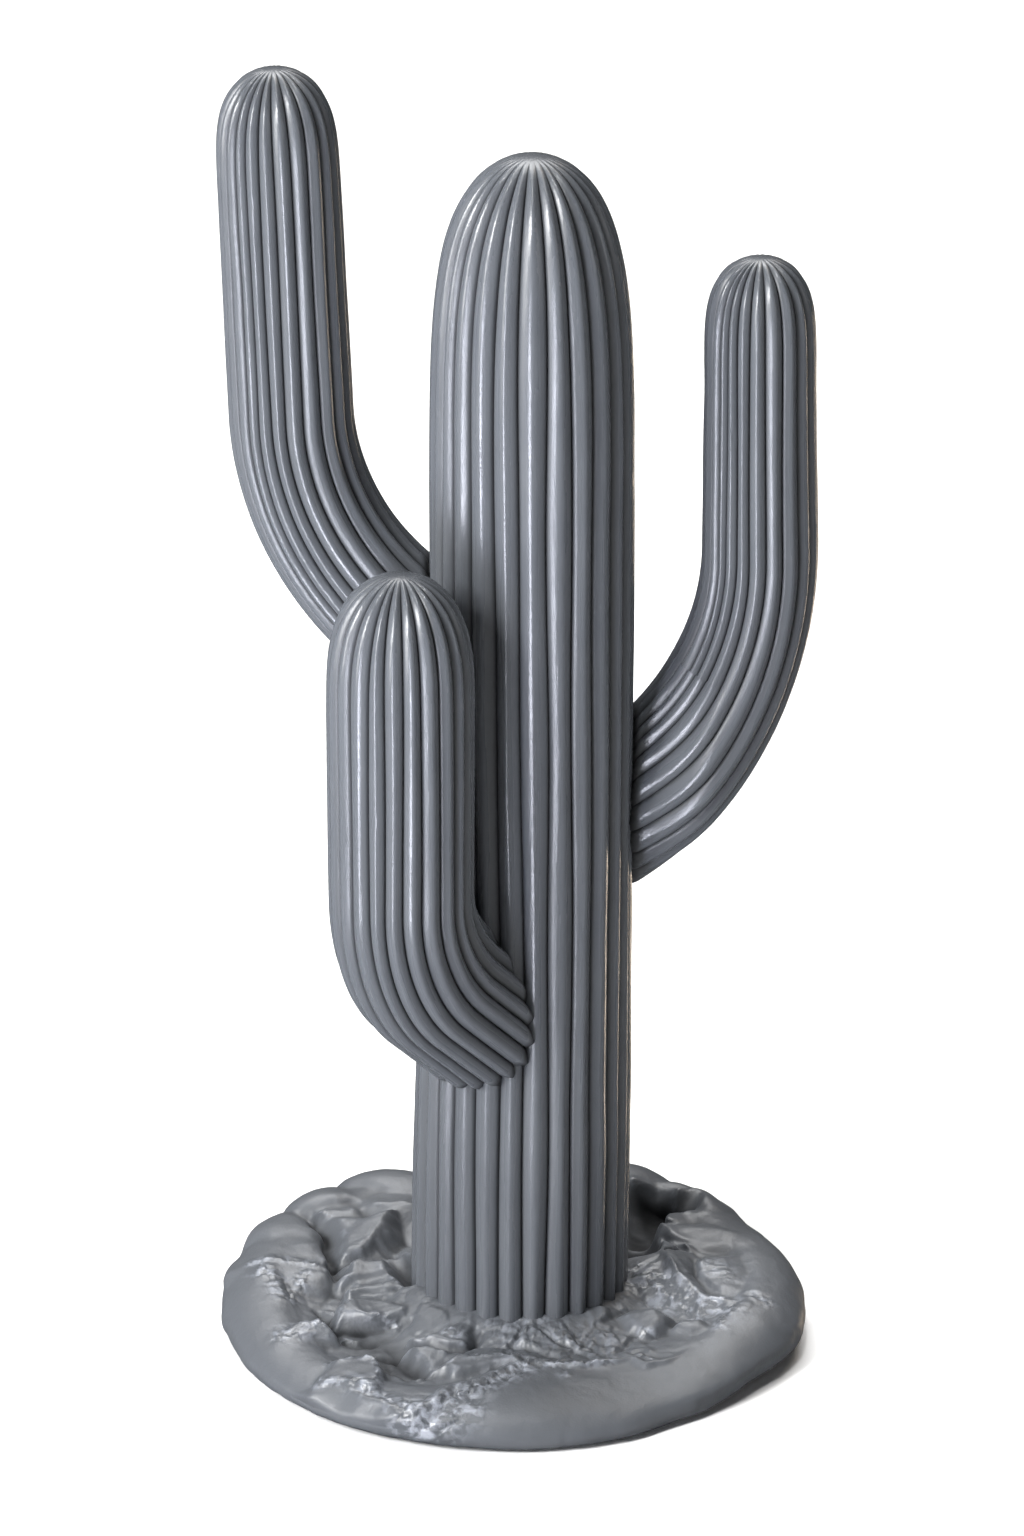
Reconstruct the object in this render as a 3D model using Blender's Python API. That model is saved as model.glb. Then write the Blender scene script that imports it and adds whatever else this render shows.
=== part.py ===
"""Model saguaro cactus in cast grey resin: a ribbed trunk, three ribbed arms and a rock base.

Metres, +Z up, +X to the right, the back towards +Y.
The origin is the centre of the flat underside that the rock base stands on.
"""

import math
from dataclasses import dataclass

import bmesh
import bpy
from mathutils import Euler, Matrix, Vector

MM = 0.001
UP = Vector((0.0, 0.0, 1.0))
RIGHT = Vector((1.0, 0.0, 0.0))
BACK = Vector((0.0, 1.0, 0.0))
FRONT_AZIMUTH = -90.0

# Clearance between neighbouring pieces
GAP = 0.3 * MM

# Trunk: it leans to the right as it rises, tapers slowly and ends in a full dome
TRUNK_FOOT_Z = 9.0 * MM
TRUNK_TOP_Z = 234.0 * MM
TRUNK_FOOT_X = 0.8 * MM
TRUNK_LEAN = 2.8 * MM
TRUNK_LEAN_END_Z = 139.0 * MM
TRUNK_FOOT_RADIUS = 20.5 * MM
TRUNK_SHOULDER_RADIUS = 18.9 * MM
TRUNK_TAPER_START_Z = 30.0 * MM
TRUNK_DOME_START_Z = 125.0 * MM
TRUNK_DOME_POWER = 7.6
TRUNK_COLUMN_SHARE = 0.3
TRUNK_STEPS = 5
TRUNK_RIBS = 26
TRUNK_RIB_PHASE = 2.0

# The cutter that trims what meets the trunk stops this many sections below the tip
CUTTER_SIDES = 52
CUTTER_SECTIONS_LEFT_OUT = 3

# Ribs: a flat crown between narrow grooves, fading out near the top of a dome.
# Depths are shares of the radius, shoulders are shares of a rib's width.
GROOVE_DEPTH = 0.05
RIB_SHOULDER = 0.22
GROOVE_END = 0.15
GROOVE_FULL = 0.60
DOME_ANGLES = (10.0, 22.0, 38.0, 53.0, 66.0, 77.0, 84.5)
SHARP_ANGLE = 35.0

# Sections along an arm's arc, below and above the split
BEND_STEPS = 5
UPRIGHT_STEPS = 3

# Rock base: a loaf of rock with a raised rim and a sloping apron at the front right.
# Each outline is radius and height in millimetres, from under the floor up to the trunk.
WALL_OUTLINE = (
    (50.0, -6.0), (52.0, 0.0), (55.2, 4.2), (54.8, 8.2), (52.0, 11.4), (47.2, 12.8),
    (41.0, 10.8), (31.0, 11.2), (22.0, 12.6),
)
APRON_OUTLINE = (
    (50.0, -6.0), (52.0, 0.0), (54.0, 2.8), (52.8, 5.6), (48.5, 7.8), (42.5, 9.2),
    (36.5, 10.2), (30.0, 11.4), (22.0, 12.6),
)
LOAF_TOP = 12.8
LOAF_SIDES = 72
RIM_INNER_RADIUS = 34.0
APRON_AZIMUTH = -58.0
APRON_HALF_WIDTH = 62.0
LOW_RIM_AZIMUTH = -112.0
LOW_RIM_HALF_WIDTH = 58.0
LOW_RIM_SHARE = 0.72
RIGHT_BULGE = 1.8
RIGHT_BULGE_AZIMUTH = -26.0
RIGHT_BULGE_HALF_WIDTH = 50.0

# How finely the loaf and the stones are melted together, softened and thinned
STONE_SUBDIVISIONS = 3
ROCK_CELL = 1.15 * MM
ROCK_SMOOTHING = 3
ROCK_SMOOTH_FACTOR = 0.5
ROCK_FACES_KEPT = 0.10

# The slab that cuts the underside flat
SLAB_WIDTH = 160.0 * MM
SLAB_DEPTH = 24.0 * MM

RESIN_COLOR = (0.168, 0.176, 0.191, 1.0)
ROCK_COLOR = (0.150, 0.158, 0.172, 1.0)
RESIN_ROUGHNESS = 0.38


@dataclass(frozen=True)
class Section:
    """Where one cross-section lies: its centre, and two directions in its plane."""

    centre: Vector
    across: Vector
    normal: Vector

    def point(self, angle, radius):
        """The point of the section at an angle from its across direction."""
        return self.centre + (self.across * math.cos(angle) + self.normal * math.sin(angle)) * radius


@dataclass(frozen=True)
class Arm:
    """One arm, in millimetres and degrees.

    It leaves the trunk sloping up, turns through an arc and ends in an upright with a dome.
    The azimuth is the way it points from the trunk, and the reach is from the trunk's axis
    to the upright's. The turn is the angle that the arc has left at the root, the split
    angle what it has left where the arm is split, and the lean what stays in the upright.
    """

    name: str
    azimuth: float
    reach: float
    bend_z: float
    bend_radius: float
    turn: float
    root_run: float
    split_angle: float
    lean: float
    tip_z: float
    root_radius: float
    upright_radius: float
    tip_radius: float
    dome: float
    dome_power: float
    ribs: int


@dataclass(frozen=True)
class Stone:
    """One stone: its middle and three half sizes in millimetres, then its turn and tip in degrees."""

    x: float
    y: float
    z: float
    length: float
    width: float
    height: float
    turn: float = 0.0
    tip: float = 0.0


ARMS = (
    Arm(
        name="left_arm",
        azimuth=170.0,
        reach=44.85,
        bend_z=185.3,
        bend_radius=52.6,
        turn=70.0,
        root_run=2.0,
        split_angle=26.0,
        lean=2.4,
        tip_z=247.9,
        root_radius=12.5,
        upright_radius=11.5,
        tip_radius=11.3,
        dome=23.6,
        dome_power=3.7,
        ribs=22,
    ),
    Arm(
        name="right_arm",
        azimuth=10.0,
        reach=42.85,
        bend_z=155.9,
        bend_radius=61.8,
        turn=66.0,
        root_run=2.0,
        split_angle=24.0,
        lean=-0.5,
        tip_z=212.2,
        root_radius=14.1,
        upright_radius=10.8,
        tip_radius=10.3,
        dome=26.0,
        dome_power=4.9,
        ribs=20,
    ),
    Arm(
        name="front_arm",
        azimuth=229.0,
        reach=34.9,
        bend_z=101.2,
        bend_radius=27.4,
        turn=48.8,
        root_run=22.0,
        split_angle=26.0,
        lean=0.0,
        tip_z=163.2,
        root_radius=14.3,
        upright_radius=13.3,
        tip_radius=13.6,
        dome=25.4,
        dome_power=3.1,
        ribs=22,
    ),
)

STONES = (
    # lumps along the rim, from the left round the back to the right
    Stone(-44.0, -4.0, 7.0, 9.8, 12.5, 6.8, 8.0),
    Stone(-43.5, 13.0, 7.6, 9.2, 9.6, 5.6, 20.0),
    Stone(-38.5, 27.5, 7.8, 10.2, 8.6, 6.0, -38.0),
    Stone(-30.0, 38.5, 7.8, 9.8, 7.6, 5.8, -38.0),
    Stone(-18.0, 43.5, 7.9, 10.6, 7.6, 5.8, -18.0),
    Stone(-1.0, 46.0, 7.8, 12.0, 7.0, 5.4, 0.0),
    Stone(15.5, 44.0, 7.8, 11.0, 7.8, 5.8, -12.0),
    Stone(28.5, 39.0, 8.4, 13.0, 9.0, 5.8, -34.0),
    Stone(40.5, 22.5, 6.9, 8.6, 9.2, 4.9, 30.0),
    Stone(45.5, 6.0, 6.4, 7.6, 12.5, 5.4, -4.0),
    Stone(46.0, -12.0, 5.8, 8.0, 10.0, 5.2, -14.0),
    # boulder and slabs between the left rim and the trunk
    Stone(-28.5, 19.0, 10.8, 7.5, 8.5, 4.4, 20.0, 5.0),
    Stone(-28.0, 4.5, 10.8, 6.5, 4.4, 3.2, 12.0),
    Stone(-27.0, -4.0, 10.6, 6.0, 4.0, 3.0, 8.0),
    Stone(-26.5, -16.0, 9.8, 9.0, 6.5, 3.8, -6.0, 3.0),
    Stone(-39.0, -22.0, 7.0, 5.5, 4.5, 4.2, 30.0),
    # front left
    Stone(-31.0, -34.0, 5.0, 8.5, 6.5, 4.8, 35.0),
    Stone(-14.5, -42.0, 4.6, 11.0, 7.0, 5.0, 10.0),
    Stone(-17.0, -33.5, 7.6, 6.5, 4.6, 3.6, 10.0),
    Stone(-11.0, -26.5, 10.4, 6.0, 4.4, 3.8, 20.0),
    Stone(-2.0, -35.0, 7.8, 7.0, 4.2, 3.0, -4.0),
    # front right and beside the foot
    Stone(14.0, -29.5, 9.2, 7.0, 4.4, 2.6, 6.0),
    Stone(24.5, -17.0, 11.0, 5.8, 4.2, 2.8, 8.0),
    Stone(34.0, -20.5, 8.4, 6.5, 5.0, 3.0, 20.0),
    # stones behind the trunk
    Stone(-14.0, 31.0, 10.0, 7.0, 5.5, 3.6, 15.0),
    Stone(1.0, 31.5, 9.8, 6.0, 5.0, 3.4, -10.0),
    Stone(17.0, 29.0, 9.6, 7.5, 5.0, 3.4, -30.0),
    # right boulders
    Stone(28.5, 0.5, 10.2, 8.0, 7.0, 5.8, -25.0),
    Stone(39.0, 3.5, 9.2, 7.5, 7.5, 6.2, 10.0),
    Stone(35.5, 20.5, 9.0, 9.0, 7.5, 5.4, -40.0),
)


def smoothstep(t):
    """0 below 0, 1 above 1, and a smooth rise between."""
    t = min(max(t, 0.0), 1.0)
    return t * t * (3.0 - 2.0 * t)


def blend(a, b, t):
    """From a at 0 to b at 1."""
    return a + (b - a) * t


def dome_radius(rise, power):
    """Radius of a dome as a share of its start radius, where its rise runs from 0 to 1 at the top."""
    return math.sqrt(max(0.0, 1.0 - rise**power))


def dome_rise(angle, power):
    """The rise at which a dome has turned in by this angle."""
    return math.sin(math.radians(angle)) ** (2.0 / power)


def groove_depth(radius_share):
    """Depth of the grooves where a dome has this share of its start radius."""
    return GROOVE_DEPTH * smoothstep((radius_share - GROOVE_END) / (GROOVE_FULL - GROOVE_END))


def clear_scene():
    """Removes what the scene holds."""
    for obj in list(bpy.data.objects):
        bpy.data.objects.remove(obj, do_unlink=True)


def resin(name, color):
    """Satin cast resin in this colour."""
    material = bpy.data.materials.new(name)
    material.use_nodes = True
    shader = material.node_tree.nodes["Principled BSDF"]
    shader.inputs["Base Color"].default_value = color
    shader.inputs["Roughness"].default_value = RESIN_ROUGHNESS
    material.diffuse_color = color
    return material


def add_object(name, bm, color):
    """Turns a bmesh into an object with a material of its own, its faces pointing out."""
    bmesh.ops.recalc_face_normals(bm, faces=bm.faces)
    mesh = bpy.data.meshes.new(name)
    bm.to_mesh(mesh)
    bm.free()
    obj = bpy.data.objects.new(name, mesh)
    bpy.context.scene.collection.objects.link(obj)
    mesh.materials.append(resin(name, color))
    return obj


def add_cutter(name, bm):
    """An object that only cuts others and isn't part of the model."""
    cutter = add_object(name, bm, RESIN_COLOR)
    cutter.hide_render = True
    cutter.display_type = "WIRE"
    return cutter


def cut(obj, cutter):
    """Takes the cutter's volume out of the object."""
    modifier = obj.modifiers.new("cut", "BOOLEAN")
    modifier.operation = "DIFFERENCE"
    modifier.solver = "EXACT"
    modifier.object = cutter


def smooth_ribs(obj):
    """Smooth shading that keeps the grooves and the end faces crisp."""
    obj.data.shade_smooth()
    obj.data.set_sharp_from_angle(angle=math.radians(SHARP_ANGLE))


def ribbed_ring(section, radius, ribs, depth, phase=0.0):
    """Points of one ribbed section: a groove and two shoulders for each rib."""
    points = []
    for i in range(ribs):
        for offset, inset in ((0.0, depth), (RIB_SHOULDER, 0.0), (1.0 - RIB_SHOULDER, 0.0)):
            angle = math.radians(phase) + math.tau * (i + offset) / ribs
            points.append(section.point(angle, radius * (1.0 - inset)))
    return points


def plain_ring(section, radius, sides):
    """Points of one plain round section."""
    return [section.point(math.tau * i / sides, radius) for i in range(sides)]


def close_end(bm, row, point):
    """Closes an open end with a fan of triangles to one point."""
    middle = bm.verts.new(point)
    for i, vert in enumerate(row):
        bm.faces.new((vert, row[(i + 1) % len(row)], middle))


def loft(bm, rings, tip=None):
    """Skins the rings in order, with a flat near end, and a far end that is flat or runs to a tip."""
    rows = [[bm.verts.new(point) for point in points] for points in rings]
    count = len(rows[0])
    for lower, upper in zip(rows, rows[1:]):
        for i in range(count):
            j = (i + 1) % count
            bm.faces.new((lower[i], lower[j], upper[j], upper[i]))
    close_end(bm, rows[0], sum(rings[0], Vector()) / count)
    close_end(bm, rows[-1], tip or sum(rings[-1], Vector()) / count)


def trunk_section(z):
    """The level section of the trunk at a height, on its leaning axis."""
    x = TRUNK_FOOT_X + TRUNK_LEAN * smoothstep(z / TRUNK_LEAN_END_Z)
    return Section(Vector((x, 0.0, z)), RIGHT, BACK)


def trunk_radius(z):
    """Crown radius of the trunk at a height: straight, then a slow taper, then the dome."""
    taper = (z - TRUNK_TAPER_START_Z) / (TRUNK_DOME_START_Z - TRUNK_TAPER_START_Z)
    rise = (z - TRUNK_DOME_START_Z) / (TRUNK_TOP_Z - TRUNK_DOME_START_Z)
    radius = blend(TRUNK_FOOT_RADIUS, TRUNK_SHOULDER_RADIUS, smoothstep(taper))
    return radius * dome_radius(max(rise, 0.0), TRUNK_DOME_POWER)


def trunk_heights(foot):
    """Heights of the trunk's sections: evenly spread up the column, then closing in over the dome."""
    dome = TRUNK_TOP_Z - TRUNK_DOME_START_Z
    column = TRUNK_DOME_START_Z + dome * TRUNK_COLUMN_SHARE - foot
    heights = [foot + column * i / TRUNK_STEPS for i in range(TRUNK_STEPS + 1)]
    for angle in DOME_ANGLES:
        heights.append(TRUNK_DOME_START_Z + dome * dome_rise(angle, TRUNK_DOME_POWER))
    return heights


def build_trunk():
    """The ribbed column, from its foot in the base to its dome."""
    phase = TRUNK_RIB_PHASE + FRONT_AZIMUTH
    rings = []
    for z in trunk_heights(TRUNK_FOOT_Z):
        radius = trunk_radius(z)
        depth = groove_depth(radius / TRUNK_SHOULDER_RADIUS)
        rings.append(ribbed_ring(trunk_section(z), radius, TRUNK_RIBS, depth, phase))
    bm = bmesh.new()
    loft(bm, rings, trunk_section(TRUNK_TOP_Z).centre)
    smooth_ribs(add_object("trunk", bm, RESIN_COLOR))


def build_trunk_cutter():
    """A smooth trunk, wider by the gap, that trims the arms and the base."""
    heights = trunk_heights(TRUNK_FOOT_Z - GAP)[:-CUTTER_SECTIONS_LEFT_OUT]
    rings = [plain_ring(trunk_section(z), trunk_radius(z) + GAP, CUTTER_SIDES) for z in heights]
    bm = bmesh.new()
    loft(bm, rings)
    return add_cutter("trunk_cutter", bm)


def arm_section(arm, angle, run=0.0):
    """The arm's section where its arc has this angle left, moved this many mm towards the tip."""
    azimuth, turn = math.radians(arm.azimuth), math.radians(angle)
    outward = Vector((math.cos(azimuth), math.sin(azimuth), 0.0))
    across = Vector((-math.sin(azimuth), math.cos(azimuth), 0.0))
    normal = outward * math.cos(turn) - UP * math.sin(turn)
    arc_middle = trunk_section(arm.bend_z * MM).centre + outward * (arm.reach - arm.bend_radius) * MM
    centre = arc_middle + normal * arm.bend_radius * MM + normal.cross(across) * run * MM
    return Section(centre, across, normal)


def arc_ring(arm, angle, run=0.0):
    """A ribbed section of the arc, which is thickest at the root."""
    radius = blend(arm.upright_radius, arm.root_radius, smoothstep(angle / arm.turn)) * MM
    return ribbed_ring(arm_section(arm, angle, run), radius, arm.ribs, GROOVE_DEPTH)


def upright_length(arm):
    """Length in mm from the end of the arc to the tip."""
    start = arm_section(arm, arm.lean)
    return (arm.tip_z - start.centre.z / MM) / start.normal.cross(start.across).z


def build_arm_bend(arm, trunk_cutter):
    """The arm from the trunk to the split: a straight root, then most of the arc."""
    rings = [arc_ring(arm, arm.turn, -arm.root_run)]
    for i in range(BEND_STEPS + 1):
        rings.append(arc_ring(arm, blend(arm.turn, arm.split_angle, i / BEND_STEPS)))
    bm = bmesh.new()
    loft(bm, rings)
    bend = add_object(arm.name + "_bend", bm, RESIN_COLOR)
    cut(bend, trunk_cutter)
    smooth_ribs(bend)


def build_arm_upright(arm):
    """The arm from the split to its tip: the end of the arc, a straight run and the dome."""
    start = arm.split_angle - math.degrees(GAP / (arm.bend_radius * MM))
    rings = []
    for i in range(UPRIGHT_STEPS + 1):
        rings.append(arc_ring(arm, blend(start, arm.lean, i / UPRIGHT_STEPS)))
    length = upright_length(arm)
    for angle in (0.0, *DOME_ANGLES):
        rise = dome_rise(angle, arm.dome_power)
        share = dome_radius(rise, arm.dome_power)
        section = arm_section(arm, arm.lean, length - arm.dome * (1.0 - rise))
        rings.append(ribbed_ring(section, arm.tip_radius * MM * share, arm.ribs, groove_depth(share)))
    bm = bmesh.new()
    loft(bm, rings, arm_section(arm, arm.lean, length).centre)
    smooth_ribs(add_object(arm.name + "_upright", bm, RESIN_COLOR))


def swell(azimuth, middle, half_width):
    """1 at the middle azimuth, falling smoothly to 0 a half width away on either side."""
    away = abs((azimuth - middle + 180.0) % 360.0 - 180.0)
    return smoothstep(1.0 - away / half_width)


def loaf_ring(wall, apron):
    """One ring of the loaf: the wall outline, lower at the front left, and the apron at the front right."""
    wall_radius, wall_height = wall
    apron_radius, apron_height = apron
    points = []
    for i in range(LOAF_SIDES):
        azimuth = 360.0 * i / LOAF_SIDES
        share = swell(azimuth, APRON_AZIMUTH, APRON_HALF_WIDTH)
        radius = blend(wall_radius, apron_radius, share)
        if radius > RIM_INNER_RADIUS and wall_height > 0.0:
            radius += RIGHT_BULGE * swell(azimuth, RIGHT_BULGE_AZIMUTH, RIGHT_BULGE_HALF_WIDTH)
        height = wall_height
        if wall_radius > RIM_INNER_RADIUS:
            height *= blend(1.0, LOW_RIM_SHARE, swell(azimuth, LOW_RIM_AZIMUTH, LOW_RIM_HALF_WIDTH))
        height = blend(height, apron_height, share)
        angle = math.radians(azimuth)
        points.append(Vector((radius * math.cos(angle), radius * math.sin(angle), height)) * MM)
    return points


def add_stone(bm, stone):
    """Adds one stone as a closed ball stretched to its three half sizes."""
    place = Matrix.Translation(Vector((stone.x, stone.y, stone.z)) * MM)
    turn = Euler((math.radians(stone.tip), 0.0, math.radians(stone.turn))).to_matrix().to_4x4()
    size = Matrix.Diagonal((stone.length * MM, stone.width * MM, stone.height * MM, 1.0))
    bmesh.ops.create_icosphere(
        bm, subdivisions=STONE_SUBDIVISIONS, radius=1.0, matrix=place @ turn @ size
    )


def build_underside_cutter():
    """A slab whose top face is the plane of the underside."""
    bm = bmesh.new()
    size = Matrix.Diagonal((SLAB_WIDTH, SLAB_WIDTH, SLAB_DEPTH, 1.0))
    bmesh.ops.create_cube(bm, size=1.0, matrix=Matrix.Translation(-UP * SLAB_DEPTH / 2) @ size)
    return add_cutter("underside_cutter", bm)


def build_rock_base(trunk_cutter):
    """Loaf and stones melted into one rock, cut flat underneath and socketed for the trunk's foot."""
    bm = bmesh.new()
    rings = [loaf_ring(wall, apron) for wall, apron in zip(WALL_OUTLINE, APRON_OUTLINE)]
    loft(bm, rings, UP * LOAF_TOP * MM)
    for stone in STONES:
        add_stone(bm, stone)
    base = add_object("rock_base", bm, ROCK_COLOR)
    melt = base.modifiers.new("melt", "REMESH")
    melt.mode = "VOXEL"
    melt.voxel_size = ROCK_CELL
    soften = base.modifiers.new("soften", "SMOOTH")
    soften.iterations = ROCK_SMOOTHING
    soften.factor = ROCK_SMOOTH_FACTOR
    thin = base.modifiers.new("thin", "DECIMATE")
    thin.ratio = ROCK_FACES_KEPT
    cut(base, build_underside_cutter())
    cut(base, trunk_cutter)
    base.data.shade_smooth()


def main():
    clear_scene()
    trunk_cutter = build_trunk_cutter()
    build_trunk()
    for arm in ARMS:
        build_arm_bend(arm, trunk_cutter)
        build_arm_upright(arm)
    build_rock_base(trunk_cutter)


main()
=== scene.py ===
"""Looks of a model saguaro cactus, cast in grey resin: a ribbed trunk, three arms and a rock base.

Blender works in metres with +Z up. Sizes in the classes are in millimetres and degrees.
"""

import itertools
import logging
import math
from dataclasses import dataclass
from enum import Enum

import bpy
import numpy as np
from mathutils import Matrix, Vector


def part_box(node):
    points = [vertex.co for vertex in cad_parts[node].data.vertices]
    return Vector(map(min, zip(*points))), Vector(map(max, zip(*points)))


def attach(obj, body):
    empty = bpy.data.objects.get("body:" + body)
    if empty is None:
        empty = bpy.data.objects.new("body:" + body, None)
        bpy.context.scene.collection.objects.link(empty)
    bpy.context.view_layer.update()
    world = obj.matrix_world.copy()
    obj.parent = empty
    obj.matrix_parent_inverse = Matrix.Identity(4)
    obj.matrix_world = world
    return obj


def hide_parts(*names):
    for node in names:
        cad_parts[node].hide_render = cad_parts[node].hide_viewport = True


MM = 0.001
# edges sharper than this, in degrees, aren't shaded smooth
SHARP_ANGLE = 75.0

Array = np.ndarray
Object = bpy.types.Object
Material = bpy.types.Material
Point = tuple[float, float]
Span = tuple[float, float]
Place = tuple[float, float, float]
log = logging.getLogger("cactus")

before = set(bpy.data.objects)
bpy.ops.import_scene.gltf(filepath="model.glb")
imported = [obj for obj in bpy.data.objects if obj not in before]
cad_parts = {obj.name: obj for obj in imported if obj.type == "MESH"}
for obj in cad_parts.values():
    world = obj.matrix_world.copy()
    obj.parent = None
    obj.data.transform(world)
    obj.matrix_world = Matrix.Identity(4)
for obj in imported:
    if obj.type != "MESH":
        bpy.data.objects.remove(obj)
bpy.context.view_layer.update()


def smoothstep(t: Array) -> Array:
    """0 below 0, 1 above 1, and a smooth rise between."""
    t = np.clip(t, 0.0, 1.0)
    return t * t * (3.0 - 2.0 * t)


def ramp(values: Array, start: float, end: float) -> Array:
    """0 up to the start, 1 from the end on, and a smooth rise between. The end may lie below the start."""
    return smoothstep((values - start) / (end - start))


def blend(a: Array, b: Array, t: Array) -> Array:
    """From a at 0 to b at 1."""
    return a + (b - a) * t


def smooth_max(a: Array, b: Array, width: float) -> Array:
    """The larger of two heights, with the crease between them filled over this width."""
    overlap = np.maximum(width - np.abs(a - b), 0.0)
    return np.maximum(a, b) + overlap * overlap / (4.0 * width)


def plan_radius(points: Array) -> Array:
    """Distance of points from the z axis."""
    return np.hypot(points[..., 0], points[..., 1])


class Noise:
    """Smooth seeded noise from about -1 to 1 on a repeating lattice."""

    CELLS = 32
    # how far apart in mm the layers of a sum are read, so that their bumps don't line up
    LAYER_SHIFT = 17.3
    RIDGE_SHIFT = 29.1
    # how fast a ridge falls away from its crest
    RIDGE_FALL = 2.2

    def __init__(self, seed: int) -> None:
        """Fills the lattice from a seed."""
        self.lattice = np.random.default_rng(seed).uniform(-1.0, 1.0, (self.CELLS,) * 3)

    def at(self, points: Array, size: float) -> Array:
        """Noise at points, with bumps of about this size.

        Args:
            points: positions in mm, three in the last axis.
            size: distance between lattice values in mm.

        Returns:
            One value per point.
        """
        scaled = points / size
        low = np.floor(scaled).astype(int)
        share = smoothstep(scaled - low)
        total = np.zeros(points.shape[:-1])
        for corner in itertools.product((0, 1), repeat=3):
            index = (low + corner) % self.CELLS
            weight = np.where(corner, share, 1.0 - share).prod(axis=-1)
            total += weight * self.lattice[index[..., 0], index[..., 1], index[..., 2]]
        return total

    def layered(self, points: Array, size: float, layers: int) -> Array:
        """Sums layers of noise, each half as large and half as high as the one before.

        Args:
            points: positions in mm, three in the last axis.
            size: distance between the first layer's lattice values in mm.
            layers: number of layers.

        Returns:
            One value per point.
        """
        total = np.zeros(points.shape[:-1])
        for layer in range(layers):
            total += self.at(points + self.LAYER_SHIFT * layer, size / 2**layer) / 2**layer
        return total

    def ridged(self, points: Array, size: float, layers: int) -> Array:
        """Noise with sharp crests, in layers as above.

        Args:
            points: positions in mm, three in the last axis.
            size: distance between the first layer's lattice values in mm.
            layers: number of layers.

        Returns:
            One value per point, from 0 to 1 at a crest.
        """
        total = np.zeros(points.shape[:-1])
        for layer in range(layers):
            crease = np.abs(self.at(points + self.RIDGE_SHIFT * layer, size / 2**layer))
            total += (1.0 - np.minimum(crease * self.RIDGE_FALL, 1.0)) / 2**layer
        return total / (2.0 - 0.5 ** (layers - 1))


@dataclass(frozen=True)
class Bumps:
    """Lumps of about one size: how high they are, and in how many layers.

    The smaller the share of z, the longer they are upright. The shift, in mm, keeps apart two sets
    that read the same noise.
    """

    size: float
    height: float
    layers: int = 2
    z_share: float = 1.0
    shift: float = 0.0

    def at(self, noise: Noise, points: Array) -> Array:
        """Heights at points, three in the last axis."""
        places = points * (1.0, 1.0, self.z_share) + self.shift
        return self.height * noise.layered(places, self.size, self.layers)


@dataclass(frozen=True)
class Rubble:
    """Broken stones side by side: flat leaning faces with cracks between them."""

    seed: int
    size: float
    height: float
    tilt: float = 1.2
    crack: float = 0.25
    # share of the height by which neighbours stand above one another
    stagger: float = 0.4
    cells: int = 64

    def at(self, x: Array, y: Array) -> Array:
        """Height of the rubble.

        Args:
            x: positions in mm.
            y: positions in mm.

        Returns:
            Heights in mm, 0 for a middling face and below it in the cracks.
        """
        rng = np.random.default_rng(self.seed)
        middle = rng.uniform(0.1, 0.9, (self.cells, self.cells, 2))
        face = rng.uniform(-1.0, 1.0, (self.cells, self.cells, 3))
        u, v = x / self.size, y / self.size
        nearest, second = np.full(x.shape, 9.0), np.full(x.shape, 9.0)
        plane = np.zeros(x.shape)
        for du, dv in itertools.product((-1, 0, 1), repeat=2):
            column, row = np.floor(u).astype(int) + du, np.floor(v).astype(int) + dv
            key = (column % self.cells, row % self.cells)
            dx, dy = u - column - middle[key][..., 0], v - row - middle[key][..., 1]
            away = np.hypot(dx, dy)
            lean = face[key]
            nearer = away < nearest
            second = np.where(nearer, nearest, np.minimum(second, away))
            slope = self.tilt * (lean[..., 0] * dx + lean[..., 1] * dy)
            plane = np.where(nearer, self.stagger * lean[..., 2] + slope, plane)
            nearest = np.minimum(nearest, away)
        whole = smoothstep((second - nearest) / self.crack)
        return self.height * (whole * (1.0 + plane) - 1.0)


def build_mesh(
    name: str, grid: Array, ends: tuple[Array, Array], places: Array, values: dict[str, Array]
) -> Object:
    """Skins a closed tube of rings and closes it with a fan at either end.

    Args:
        name: name of the new object.
        grid: ring points in mm, as rings by points by three.
        ends: the points that close the first and the last ring.
        places: where each point lies in the material's grain, in mm, in the shape of the grid.
        values: numbers for the material, by name, as rings by points.

    Returns:
        The new object, at the origin.
    """
    rings, count = grid.shape[:2]
    index = np.arange(rings * count).reshape(rings, count)
    after = np.roll(index, -1, axis=1)
    quads = np.stack([index[:-1], after[:-1], after[1:], index[1:]], axis=-1).reshape(-1, 4)
    first, last = rings * count, rings * count + 1
    foot = [(int(b), int(a), first) for a, b in zip(index[0], after[0])]
    top = [(int(a), int(b), last) for a, b in zip(index[-1], after[-1])]
    points = np.concatenate([grid.reshape(-1, 3), ends]) * MM
    mesh = bpy.data.meshes.new(name)
    mesh.from_pydata(points.tolist(), [], quads.tolist() + foot + top)
    for label, numbers in values.items():
        data = np.concatenate([numbers.reshape(-1), [numbers[0].mean(), numbers[-1].mean()]])
        mesh.attributes.new(label, "FLOAT", "POINT").data.foreach_set("value", data.astype(np.float32))
    grain = np.concatenate([places.reshape(-1, 3), [places[0].mean(axis=0), places[-1].mean(axis=0)]]) * MM
    attribute = mesh.attributes.new("grain_place", "FLOAT_VECTOR", "POINT")
    attribute.data.foreach_set("vector", grain.reshape(-1))
    mesh.shade_smooth()
    mesh.set_sharp_from_angle(angle=math.radians(SHARP_ANGLE))
    mesh.update()
    obj = bpy.data.objects.new(name, mesh)
    bpy.context.scene.collection.objects.link(obj)
    return obj


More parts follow.
